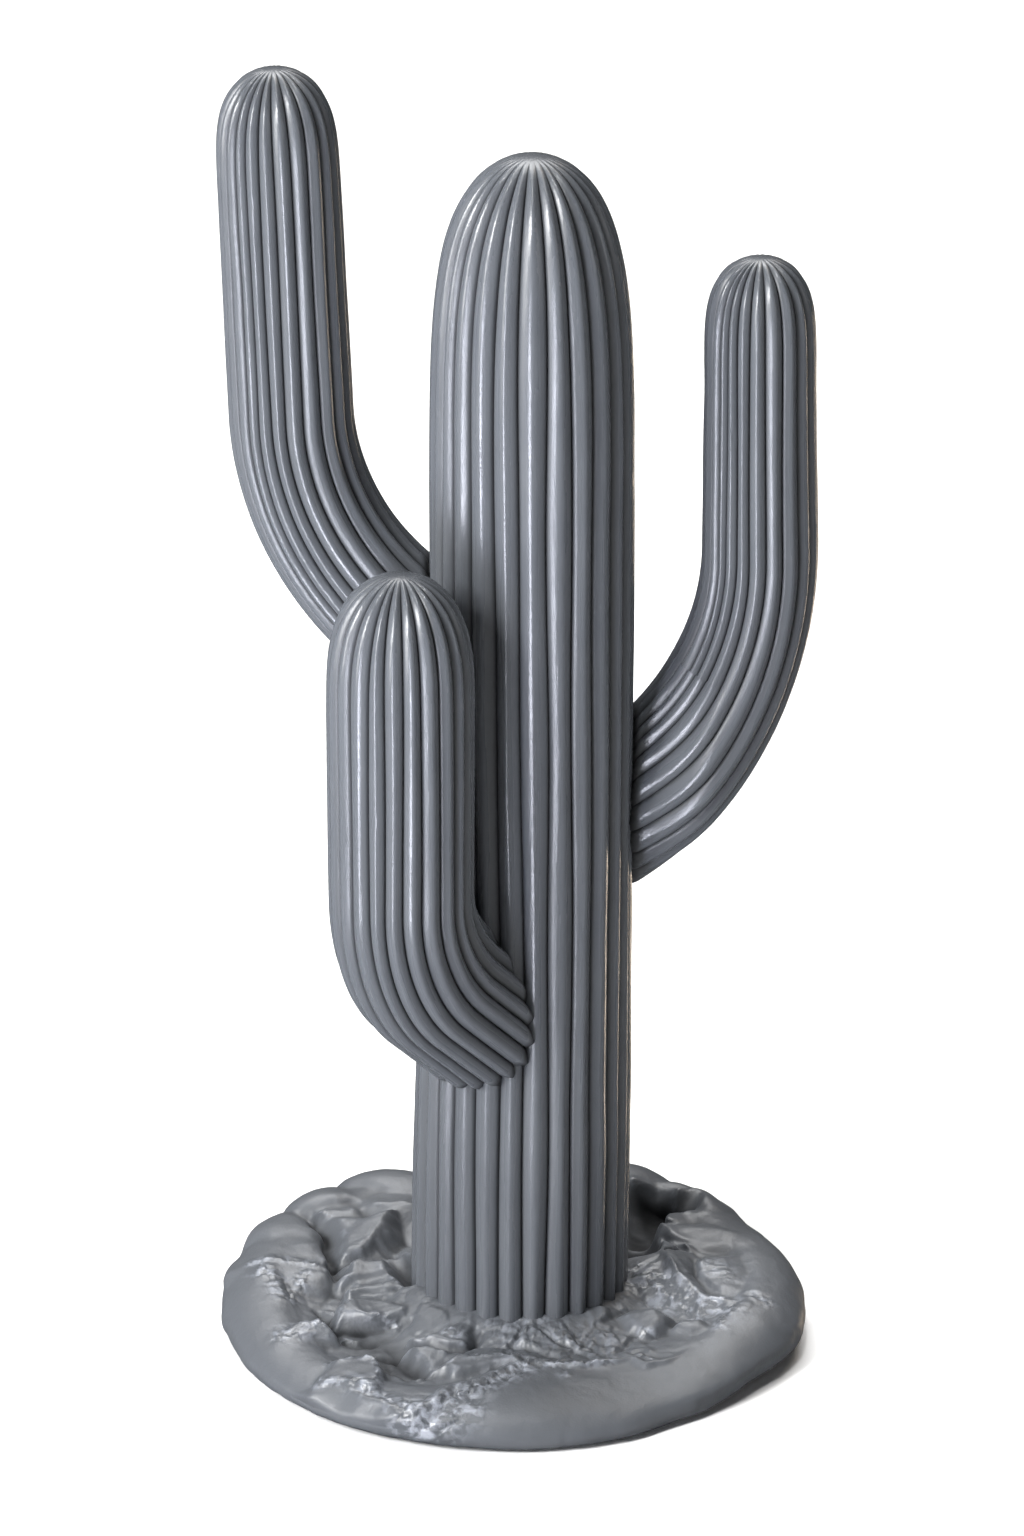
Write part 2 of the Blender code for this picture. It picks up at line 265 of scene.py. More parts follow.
def dress(obj: Object, material: Material, node: str) -> None:
    """Gives a piece its material and its place in the model, and reports it.

    Args:
        obj: the piece.
        material: its finish.
        node: the CAD node that it stands for.
    """
    obj.data.materials.append(material)
    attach(obj, "root")
    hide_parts(node)
    log.info("%s: %d faces", obj.name, len(obj.data.polygons))


def linear(hex_color: str) -> tuple[float, float, float, float]:
    """Turns an sRGB hex value into a linear colour.

    Args:
        hex_color: the value, such as #808080.

    Returns:
        Red, green, blue and an alpha of 1.
    """
    channels = []
    for start in (1, 3, 5):
        value = int(hex_color[start : start + 2], 16) / 255.0
        channels.append(value / 12.92 if value <= 0.04045 else ((value + 0.055) / 1.055) ** 2.4)
    return (channels[0], channels[1], channels[2], 1.0)


class Mix(Enum):
    """Numbers of a colour Mix node's sockets, whose names are shared by its other types."""

    FACTOR = 0
    FIRST = 6
    SECOND = 7
    RESULT = 2


def add_node(tree: bpy.types.NodeTree, kind: str, settings: dict, links: dict) -> bpy.types.Node:
    """Adds a node with its settings and links.

    Args:
        tree: the node tree.
        kind: Blender's name for the kind of node.
        settings: values by the name of a property, or by the name or number of an input.
        links: the output sockets that feed the node, by the input's name or number.

    Returns:
        The new node.
    """
    node = tree.nodes.new(kind)
    for name, value in settings.items():
        if isinstance(name, str) and hasattr(node, name):
            setattr(node, name, value)
        else:
            node.inputs[name].default_value = value
    for name, socket in links.items():
        tree.links.new(socket, node.inputs[name])
    return node


@dataclass(frozen=True)
class CastResin:
    """Polyurethane resin, cast in a silicone mould and left with the mould's satin skin.

    Pigmented through, so its grey hardly varies. The skin's fine grain breaks a highlight into
    sparks, and parts that the mould polished, or that handling rubs, shine more. Shade is painted
    into the colour of its grooves and hollows, and a paler highlight onto the places that shine.
    """

    name: str
    light: str = "#525559"
    dark: str = "#494c51"
    # painted shade: a near-black colour laid into grooves and hollows, where shade falls
    hollow: str = "#17181a"
    # painted highlight: a paler colour laid on rubbed places, and how strongly it is laid on
    painted_highlight_color: str = "#868a92"
    painted_highlight: float = 0.0
    ior: float = 1.5
    roughness: float = 0.30
    rubbed_roughness: float = 0.26
    # how much rougher the grooves and hollows are, where nothing polishes them
    dullness: float = 0.6
    # sizes in mm: slow clouds in the pigment, faint streaks from smoothing the pattern, and the
    # skin's grain, which is really about 0.1 mm and is drawn coarser so that it shows
    cloud: float = 14.0
    streak: float = 0.8
    streak_depth: float = 0.045
    streak_stretch: float = 0.04
    grain: float = 0.45
    grain_depth: float = 0.032
    crinkle: float = 2.2
    crinkle_depth: float = 0.0
    # how far the streaks vary the roughness, and the values of the crinkles' noise at which a
    # flake of painted highlight starts and is full
    streak_roughness: float = 0.08
    flakes: Span = (0.46, 0.62)

    def build(self) -> Material:
        """Makes the material, which reads the vertex values grain_place, hollow and rubbed.

        Returns:
            The new material.
        """
        material = bpy.data.materials.new(self.name)
        material.use_nodes = True
        tree = material.node_tree
        shader = tree.nodes["Principled BSDF"]
        shader.inputs["IOR"].default_value = self.ior
        read = {}
        for label, output in (("grain_place", "Vector"), ("hollow", "Fac"), ("rubbed", "Fac")):
            attribute = add_node(tree, "ShaderNodeAttribute", {"attribute_name": label}, {})
            read[label] = attribute.outputs[output]
        stretch = {"Scale": (1.0, 1.0, self.streak_stretch)}
        along = add_node(tree, "ShaderNodeMapping", stretch, {"Vector": read["grain_place"]})
        noise = {}
        for label, size, detail, swirl, place in (
            ("cloud", self.cloud, 3.0, 0.0, read["grain_place"]),
            ("streak", self.streak, 2.0, 0.0, along.outputs["Vector"]),
            ("grain", self.grain, 1.0, 0.0, read["grain_place"]),
            ("crinkle", self.crinkle, 4.0, 0.5, read["grain_place"]),
        ):
            settings = {"Scale": 1.0 / (size * MM), "Detail": detail, "Distortion": swirl}
            noise[label] = add_node(tree, "ShaderNodeTexNoise", settings, {"Vector": place}).outputs["Fac"]
        settings = {"From Min": self.flakes[0], "From Max": self.flakes[1], "To Max": self.painted_highlight}
        flakes = add_node(tree, "ShaderNodeMapRange", settings, {"Value": noise["crinkle"]})
        settings = {"operation": "MULTIPLY"}
        painted_highlight_mask, crumple = (
            add_node(tree, "ShaderNodeMath", settings, {0: value, 1: read["rubbed"]}).outputs[0]
            for value in (flakes.outputs["Result"], noise["crinkle"])
        )
        # each colour lies over the one before it: clouds of tone, painted shade in grooves and hollows,
        # and a paler painted highlight on rubbed places
        settings, under = {"data_type": "RGBA", Mix.FIRST.value: linear(self.dark)}, {}
        for factor, color in (
            (noise["cloud"], self.light), (read["hollow"], self.hollow), (painted_highlight_mask, self.painted_highlight_color)
        ):
            settings[Mix.SECOND.value] = linear(color)
            tone = add_node(tree, "ShaderNodeMix", settings, {Mix.FACTOR.value: factor, **under})
            under = {Mix.FIRST.value: tone.outputs[Mix.RESULT.value]}
        tree.links.new(tone.outputs[Mix.RESULT.value], shader.inputs["Base Color"])
        # each share of roughness is added to the one before it
        base, under = self.roughness - 0.5 * self.streak_roughness, {}
        for value, gain in (
            (noise["streak"], self.streak_roughness),
            (read["rubbed"], self.rubbed_roughness - self.roughness),
            (read["hollow"], self.dullness),
        ):
            settings = {"operation": "MULTIPLY_ADD", 1: gain, 2: base}
            rough = add_node(tree, "ShaderNodeMath", settings, {0: value, **under})
            under = {2: rough.outputs[0]}
        tree.links.new(rough.outputs[0], shader.inputs["Roughness"])
        normal = {}
        for height, depth in (
            (noise["streak"], self.streak_depth),
            (crumple, self.crinkle_depth),
            (noise["grain"], self.grain_depth),
        ):
            if depth > 0.0:
                settings = {"Strength": 1.0, "Distance": depth * MM}
                bump = add_node(tree, "ShaderNodeBump", settings, {"Height": height, **normal})
                normal = {"Normal": bump.outputs["Normal"]}
        tree.links.new(normal["Normal"], shader.inputs["Normal"])
        return material


@dataclass(frozen=True)
class Stations:
    """Cross-sections of a limb from root to tip, one row each."""

    # slack in mm when runs are compared
    SLACK = 1e-9

    run: Array
    centre: Array
    across: Array
    normal: Array
    radius: Array

    def resampled(self, step: float) -> "Stations":
        """Spreads the sections evenly along the surface.

        Args:
            step: distance between sections in mm.

        Returns:
            The new sections, the first and last of which are unchanged.
        """
        length = np.concatenate([[0.0], np.cumsum(np.hypot(np.diff(self.run), np.diff(self.radius)))])
        even = np.linspace(0.0, length[-1], max(2, round(length[-1] / step) + 1))
        rows = {}
        for name in ("run", "radius"):
            rows[name] = np.interp(even, length, getattr(self, name))
        for name in ("centre", "across", "normal"):
            columns = getattr(self, name).T
            rows[name] = np.stack([np.interp(even, length, column) for column in columns], axis=-1)
        return Stations(**rows)

    def between(self, first: float, last: float) -> "Stations":
        """The sections whose run lies between two values."""
        kept = (self.run >= first - self.SLACK) & (self.run <= last + self.SLACK)
        return Stations(**{name: rows[kept] for name, rows in vars(self).items()})


@dataclass(frozen=True)
class Ribbing:
    """Broad ribs with sharp grooves between them, modelled by hand and so a little uneven.

    The grooves that face the front have their bearings given, from the front and positive to the
    right, at the limb's lower end and where given at its upper end. The others are spread evenly.
    """

    count: int
    flank: float
    groove: float
    seed: int
    low: tuple[float, ...]
    high: tuple[float, ...] = ()
    run_low: float = 0.0
    run_high: float = 1.0
    # share of a rib's half width over which its crown is rounded
    crest: float = 0.35
    groove_width: float = 0.09
    groove_power: float = 1.2
    uneven: float = 0.14
    wander: float = 0.6
    wander_length: float = 80.0
    level: float = 0.10

    def shares(self) -> Array:
        """Where a rib's points lie across it, closest together at the grooves."""
        half = np.array([0.0, 0.02, 0.05, 0.09, 0.16, 0.26, 0.36, 0.44])
        return np.concatenate([half, [0.5], 1.0 - half[:0:-1]])

    def around(self, front: tuple[float, ...]) -> Array:
        """Bearings of all the grooves.

        Args:
            front: bearings of those that face the front.

        Returns:
            The same, followed by those behind.
        """
        rng = np.random.default_rng(self.seed)
        rest = self.count - len(front)
        gap = (front[0] + 360.0 - front[-1]) / (rest + 1)
        behind = front[-1] + gap * (np.arange(1, rest + 1) + rng.uniform(-self.uneven, self.uneven, rest))
        return np.concatenate([front, behind])

    def bearings(self, run: Array) -> Array:
        """Bearings of the points of each section.

        Args:
            run: distance of each section along the limb in mm.

        Returns:
            Bearings in degrees, as sections by points.
        """
        share = ramp(run[:, None], self.run_low, self.run_high)
        phase = np.random.default_rng(self.seed + 1).uniform(0.0, math.tau, self.count)
        sway = self.wander * np.sin(math.tau * run[:, None] / self.wander_length + phase)
        groove = blend(self.around(self.low), self.around(self.high or self.low), share) + sway
        following = np.roll(groove, -1, axis=1)
        following[:, -1] += 360.0
        turns = groove[:, :, None] + (following - groove)[:, :, None] * self.shares()
        return turns.reshape(len(run), -1)

    def inset(self) -> Array:
        """How far each point of a section lies inside the crown line.

        Returns:
            One value in mm per point.
        """
        shares = self.shares()
        middle = np.abs(2.0 * shares - 1.0)
        edge = np.minimum(shares, 1.0 - shares)
        full = math.hypot(1.0, self.crest) - self.crest
        flank = self.flank * (np.hypot(middle, self.crest) - self.crest) / full
        groove = self.groove * np.maximum(0.0, 1.0 - edge / self.groove_width) ** self.groove_power
        rng = np.random.default_rng(self.seed + 2)
        levels = rng.uniform(-0.5 * self.level, 0.5 * self.level, self.count)
        return (levels[:, None] * (1.0 - middle**4) + flank + groove).reshape(-1)


@dataclass(frozen=True)
class Skin:
    """The unevenness of a hand-made surface: slow swells, small lumps and a few nicks."""

    seed: int
    swells: tuple[Bumps, ...] = (Bumps(11.0, 0.06, 1), Bumps(2.6, 0.018, 2, 0.35))
    nicks: int = 16
    nick_depth: float = 0.16
    nick_length: float = 1.3
    nick_width: float = 0.45
    # how far a nick may lean, as a slope, and how deep the shallowest is, as a share
    nick_slant: float = 0.5
    nick_least: float = 0.4

    def height(self, points: Array, run: Array, angles: Array, radius: Array) -> Array:
        """Height of the unevenness about the crown line.

        Args:
            points: the surface's points, as sections by points by three.
            run: distance of each section along the limb.
            angles: angle of each point in its section.
            radius: crown radius of each section.

        Returns:
            Heights in mm.
        """
        noise = Noise(self.seed)
        height = sum(bumps.at(noise, points) for bumps in self.swells)
        rng = np.random.default_rng(self.seed + 1)
        for _ in range(self.nicks):
            along = run[:, None] - rng.uniform(run[0], run[-1])
            around = (angles - rng.uniform(0.0, math.tau) + math.pi) % math.tau - math.pi
            slant = rng.uniform(-self.nick_slant, self.nick_slant)
            across = around * radius[:, None] + slant * along
            near = (along / self.nick_length) ** 2 + (across / self.nick_width) ** 2
            height -= self.nick_depth * rng.uniform(self.nick_least, 1.0) * np.exp(-near)
        return height


@dataclass(frozen=True)
class Dome:
    """The end of a limb, drawn in by a power of its rise."""

    length: float
    power: float
    samples: int = 220

    def profile(self) -> tuple[Array, Array]:
        """The dome's outline.

        Returns:
            Rise and radius as shares, from its start to its top.
        """
        angle = np.linspace(0.0, math.pi / 2.0, self.samples)
        rise = np.sin(angle) ** (2.0 / self.power)
        return rise, np.sqrt(np.maximum(0.0, 1.0 - rise**self.power))


@dataclass(kw_only=True)
class Limb:
    """What the trunk and the arms share: ribs swept along a line of sections."""

    ribbing: Ribbing
    skin: Skin
    azimuth: float
    tip_radius: float
    # shares of the tip's radius: where the ribs and the unevenness die out towards the top
    fade_start: float = 0.10
    fade_full: float = 0.58
    calm: float = 0.25
    # how quickly the painted shade in a groove darkens towards its bottom
    groove_shade: float = 2.2

    def fade(self, stations: Stations, dome_start: float) -> Array:
        """Share of the ribs' full depth, which dies out near the top of the dome."""
        faded = ramp(stations.radius / self.tip_radius, self.fade_start, self.fade_full)
        return np.where(stations.run < dome_start, 1.0, faded)

    def surface(self, stations: Stations, dome_start: float) -> tuple[Array, Array, Array]:
        """Points of the ribbed surface.

        Args:
            stations: the limb's sections.
            dome_start: the run at which the dome starts.

        Returns:
            The points, where they lie in the grain, and how deep in a groove each is, from 0 to 1, which
            sets its painted shade.
        """
        fade = self.fade(stations, dome_start)[:, None]
        angles = np.radians(self.ribbing.bearings(stations.run) - self.azimuth)
        inset = self.ribbing.inset()
        ray = stations.across[:, None] * np.cos(angles)[..., None]
        ray = ray + stations.normal[:, None] * np.sin(angles)[..., None]
        crown = stations.centre[:, None] + ray * stations.radius[:, None, None]
        rough = self.skin.height(crown, stations.run, angles, stations.radius)
        near_tip = smoothstep(stations.radius / (self.calm * self.tip_radius))[:, None]
        reach = np.maximum(stations.radius[:, None] + rough * near_tip - inset * fade, 0.0)
        along = np.broadcast_to(stations.run[:, None], angles.shape)
        place = np.stack([reach * np.cos(angles), reach * np.sin(angles), along], axis=-1)
        # painted shade: the deeper into a groove, the darker the colour, and the rougher
        hollow = np.clip(inset / inset.max(), 0.0, 1.0) ** self.groove_shade * fade
        return stations.centre[:, None] + ray * reach[..., None], place, hollow


@dataclass(kw_only=True)
class Trunk(Limb):
    """The ribbed column: a slight lean to the right, a slow taper and a full dome."""

    ribbing: Ribbing = Ribbing(
        count=26, flank=1.10, groove=0.42, seed=11, run_low=20.0, run_high=170.0,
        low=(-66.0, -53.0, -40.0, -26.0, -12.0, 1.0, 14.5, 28.0, 40.0, 54.5, 66.0),
        high=(-74.0, -64.0, -53.0, -39.0, -23.0, -8.0, 9.0, 24.0, 38.0, 54.0, 68.0),
    )
    skin: Skin = Skin(seed=21)
    azimuth: float = 90.0
    tip_radius: float = 18.9
    node: str = "trunk"
    foot_x: float = 1.4
    lean: float = 2.2
    lean_end: float = 139.0
    foot_radius: float = 20.5
    taper_start: float = 30.0
    dome_start: float = 125.0
    dome_power: float = 7.6
    step: float = 1.1
    samples: int = 200

    def __post_init__(self) -> None:
        """Reads the foot and the top from the frame."""
        low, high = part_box(self.node)
        self.foot, self.top = low.z / MM, high.z / MM

    def axis(self, z: Array) -> Array:
        """Points of the trunk's axis at some heights."""
        x = self.foot_x + self.lean * smoothstep(z / self.lean_end)
        return np.stack([x, np.zeros_like(x), z], axis=-1)

    def radius(self, z: Array) -> Array:
        """Crown radius of the trunk.

        Args:
            z: heights in mm.

        Returns:
            One radius per height.
        """
        rise = np.clip((z - self.dome_start) / (self.top - self.dome_start), 0.0, 1.0)
        start = blend(self.foot_radius, self.tip_radius, ramp(z, self.taper_start, self.dome_start))
        return start * np.sqrt(np.maximum(0.0, 1.0 - rise**self.dome_power))

    def clearance(self, points: Array) -> Array:
        """How far points lie outside the trunk's crown line, negative inside."""
        return plan_radius(points - self.axis(points[..., 2])) - self.radius(points[..., 2])

    def build(self, material: Material) -> None:
        """Builds and dresses the trunk.

        Args:
            material: its finish.
        """
        rise, _ = Dome(self.top - self.dome_start, self.dome_power).profile()
        column = np.linspace(self.foot, self.dome_start, self.samples)
        z = np.concatenate([column, self.dome_start + (self.top - self.dome_start) * rise[1:]])
        across, normal = (np.tile(way, (len(z), 1)) for way in ([1.0, 0.0, 0.0], [0.0, 1.0, 0.0]))
        stations = Stations(z, self.axis(z), across, normal, self.radius(z)).resampled(self.step)
        grid, place, hollow = self.surface(stations, self.dome_start)
        values = {"hollow": hollow[:-1], "rubbed": 1.0 - hollow[:-1]}
        ends = (stations.centre[0], stations.centre[-1])
        casting = build_mesh("trunk_casting", grid[:-1], ends, place[:-1], values)
        dress(casting, material, self.node)


@dataclass(kw_only=True)
class Arm(Limb):
    """An arm that leaves the trunk sloping up, turns through an arc and stands upright.

    It is made in two pieces that meet across its bend.
    """

    trunk: Trunk
    name: str
    reach: float
    bend_height: float
    bend_radius: float
    turn: float
    lean: float = 0.0
    root_radius: float
    upright_radius: float
    dome: Dome
    # how far the root goes on into the trunk, and the angle of the arc at which the bend is split
    root_run: float = 2.0
    split_angle: float = 26.0
    arc_samples: int = 160
    straight_samples: int = 60
    root_samples: int = 30
    step: float = 0.75
    # how far inside the trunk's crown line the bend starts, and how far the tip stays below its box
    sink: float = 2.5
    tip_margin: float = 0.02
    # how near the trunk the ribs' ends are rounded, and how far they are drawn in
    round_width: float = 1.7
    round_depth: float = 0.8
    # share of the front half's width that is left where the arm meets the trunk, and the length
    # over which it grows to the full width
    front_share: float = 1.0
    front_taper: float = 16.0

    def frame_at(self, angle: Array) -> tuple[Array, Array, Array]:
        """Places sections on the arm's arc.

        Args:
            angle: how many degrees of the arc are left at each.

        Returns:
            The centre, the direction across and the normal of each section.
        """
        azimuth, turn = math.radians(self.azimuth), np.radians(angle)[:, None]
        outward = np.array([math.cos(azimuth), math.sin(azimuth), 0.0])
        across = np.tile([math.sin(azimuth), -math.cos(azimuth), 0.0], (len(turn), 1))
        normal = outward * np.cos(turn) - np.array([0.0, 0.0, 1.0]) * np.sin(turn)
        start = self.trunk.axis(np.array([self.bend_height]))[0]
        middle = start + outward * (self.reach - self.bend_radius)
        return middle + normal * self.bend_radius, across, normal

    def stations(self) -> tuple[Stations, float, float]:
        """All the arm's sections.

        Returns:
            The sections, and the runs at which the split and the dome lie.
        """
        arc_angles = np.linspace(self.turn, self.lean, self.arc_samples)
        centre, across, normal = self.frame_at(arc_angles)
        along = np.cross(across, normal)
        arc_run = np.radians(self.turn - arc_angles) * self.bend_radius
        arc_radius = blend(self.upright_radius, self.root_radius, smoothstep(arc_angles / self.turn))
        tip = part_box(self.name + "_upright")[1].z / MM - self.tip_margin
        length = (tip - centre[-1, 2]) / along[-1, 2]
        rise, share = self.dome.profile()
        dome_start = length - self.dome.length
        straight = np.linspace(0.0, dome_start, self.straight_samples)[1:-1]
        straight_radius = np.interp(straight, [0.0, dome_start], [arc_radius[-1], self.tip_radius])
        upper = np.concatenate([straight, length - self.dome.length * (1.0 - rise)])
        lower = np.linspace(-self.root_run, 0.0, self.root_samples)[:-1]
        line = (centre[0] + along[0] * lower[:, None], centre, centre[-1] + along[-1] * upper[:, None])
        held = ((len(lower), len(upper)), (0, 0))
        root_and_arc = np.pad(arc_radius, (len(lower), 0), "edge")
        sections = Stations(
            np.concatenate([lower, arc_run, arc_run[-1] + upper]),
            np.concatenate(line),
            np.pad(across, held, "edge"),
            np.pad(normal, held, "edge"),
            np.concatenate([root_and_arc, straight_radius, self.tip_radius * share]),
        )
        split = math.radians(self.turn - self.split_angle) * self.bend_radius
        return sections, split, arc_run[-1] + length - self.dome.length

    def round_root(self, grid: Array, centre: Array) -> tuple[Array, Array]:
        """Draws the ribs' ends in where they meet the trunk, so that each ends in a rounded tip.

        Args:
            grid: the bend's points.
            centre: the middle of each section.

        Returns:
            The new points, and how near the trunk each is, from 0 to 1.
        """
        near = np.clip((self.round_width - self.trunk.clearance(grid)) / self.round_width, 0.0, 1.0)
        inward = centre[:, None] - grid
        inward /= np.linalg.norm(inward, axis=-1, keepdims=True)
        return grid + inward * (self.round_depth * (1.0 - np.sqrt(1.0 - near * near)))[..., None], near

    def narrow_front(self, grid: Array, stations: Stations) -> Array:
        """Draws the front side in near the trunk, so that the arm comes from behind its edge.

        Args:
            grid: the bend's points.
            stations: its sections.

        Returns:
            The new points.
        """
        across = stations.across[:, None]
        forward = np.maximum(((grid - stations.centre[:, None]) * across).sum(axis=-1), 0.0)
        away = smoothstep(self.trunk.clearance(grid) / self.front_taper)
        return grid - across * (forward * (1.0 - blend(self.front_share, 1.0, away)))[..., None]

    def build(self, material: Material) -> None:
        """Builds and dresses the bend and the upright.

        Args:
            material: their finish.
        """
        everything, split, dome_start = self.stations()
        inside = self.trunk.clearance(everything.centre) + everything.radius
        start = everything.run[np.argmax(inside > -self.sink)]
        split = everything.run[np.argmin(np.abs(everything.run - split))]
        for part, first, last in (("bend", start, split), ("upright", split, everything.run[-1])):
            stations = everything.between(first, last).resampled(self.step)
            grid, place, hollow = self.surface(stations, dome_start)
            if part == "bend":
                grid = self.narrow_front(grid, stations)
                grid, near = self.round_root(grid, stations.centre)
                # painted shade where the ribs' ends meet the trunk, as at the bottom of a groove
                hollow = np.maximum(hollow, near)
            else:
                grid, place, hollow = grid[:-1], place[:-1], hollow[:-1]
            values = {"hollow": hollow, "rubbed": 1.0 - hollow}
            name = f"{self.name}_{part}"
            ends = (stations.centre[0], stations.centre[-1])
            dress(build_mesh(name + "_casting", grid, ends, place, values), material, name)


def distance_to_line(x: Array, y: Array, line: Array) -> tuple[Array, Array, Array]:
    """Distance from positions to a line of points in plan.

    Args:
        x: positions in mm.
        y: positions in mm.
        line: the points, as rows of x, y and a height or any other number.

    Returns:
        The distance, the third number at the nearest point, and which side each position is on:
        positive on the left of the line's direction.
    """
    best, number, side = np.full(x.shape, 1e6), np.zeros(x.shape), np.zeros(x.shape)
    for (x0, y0, n0), (x1, y1, n1) in zip(line, line[1:]):
        dx, dy = x1 - x0, y1 - y0
        share = np.clip(((x - x0) * dx + (y - y0) * dy) / (dx * dx + dy * dy), 0.0, 1.0)
        across, along = x - x0 - share * dx, y - y0 - share * dy
        away = np.hypot(across, along)
        nearer = away < best
        best = np.where(nearer, away, best)
        number = np.where(nearer, blend(n0, n1, share), number)
        side = np.where(nearer, dx * along - dy * across, side)
    return best, number, side


@dataclass(frozen=True)
class Boulder:
    """A rounded boulder or hollow in plan: its top, half sizes and how its sides fall."""

    # how square its plan is, and how far out its sides go on falling, in half sizes
    SQUARE_PLAN = 2.5
    REACH = 2.2

    x: float
    y: float
    top: float
    length: float
    width: float
    turn: float = 0.0
    drop: float = 3.0
    square: float = 2.4
    dip: float = 0.0
    lean: float = 0.0

    def height(self, x: Array, y: Array) -> Array:
        """Height at some positions. A hollow has a negative drop.

        Args:
            x: positions in mm.
            y: positions in mm.

        Returns:
            Heights in mm.
        """
        turn = math.radians(self.turn)
        along = (x - self.x) * math.cos(turn) + (y - self.y) * math.sin(turn)
        across = -(x - self.x) * math.sin(turn) + (y - self.y) * math.cos(turn)
        plan = self.SQUARE_PLAN
        reach = (np.abs(along / self.length) ** plan + np.abs(across / self.width) ** plan) ** (1.0 / plan)
        fall = self.drop * np.minimum(reach, self.REACH) ** self.square
        return self.top - self.dip * along - self.lean * across - fall


@dataclass(frozen=True)
class Stone:
    """An angular stone: its outline in plan, the height of its middle, its slopes, and its sides.

    The edge is how far inside the outline the sides start, and the drop how steeply they fall.
    """

    # how many edge widths the sides take to fall by the drop, and how far out they go on
    FALL = 1.6
    REACH = 4.0

    outline: tuple[Point, ...]
    top: float
    slope_x: float
    slope_y: float
    edge: float
    drop: float

    def height(self, x: Array, y: Array) -> Array:
        """Height at some positions.

        Args:
            x: positions in mm.
            y: positions in mm.

        Returns:
            Heights in mm.
        """
        corners = [(*corner, 0.0) for corner in (*self.outline, self.outline[0])]
        away, _, _ = distance_to_line(x, y, corners)
        inside = np.zeros(x.shape, dtype=bool)
        for (x0, y0, _), (x1, y1, _) in zip(corners, corners[1:]):
            if y0 != y1:
                crosses = (y0 > y) != (y1 > y)
                inside ^= crosses & (x < x0 + (x1 - x0) * (y - y0) / (y1 - y0))
        depth = np.where(inside, away, -away)
        middle_x, middle_y = np.mean(self.outline, axis=0)
        plane = self.top + self.slope_x * (x - middle_x) + self.slope_y * (y - middle_y)
        fall = np.clip((self.edge - depth) / (self.FALL * self.edge), 0.0, self.REACH)
        return plane - self.drop * fall**2


@dataclass(frozen=True)
class Crest:
    """A sharp edge of rock along a line of points, with a slope down to either side."""

    points: tuple[Place, ...]
    left: float
    right: float

    def height(self, x: Array, y: Array) -> Array:
        """Height at some positions."""
        away, top, side = distance_to_line(x, y, self.points)
        return top - np.where(side > 0.0, self.left, self.right) * away


@dataclass(frozen=True)
class Trail:
    """Something along a line of points in plan, such as a crease or a glossy edge."""

    points: tuple[Point, ...]
    width: float
    strength: float

    def at(self, x: Array, y: Array) -> Array:
        """Its strength at some positions."""
        away, _, _ = distance_to_line(x, y, [(*point, 0.0) for point in self.points])
        return self.strength * np.exp(-((away / self.width) ** 2))


@dataclass(frozen=True)
class Swell:
    """Something that grows and dies away around the base: its azimuth, half width and size."""

    azimuth: float
    half_width: float
    size: float = 1.0

    def at(self, azimuth: Array) -> Array:
        """Its size at some azimuths."""
        away = np.abs((azimuth - self.azimuth + 180.0) % 360.0 - 180.0)
        return self.size * smoothstep(1.0 - away / self.half_width)


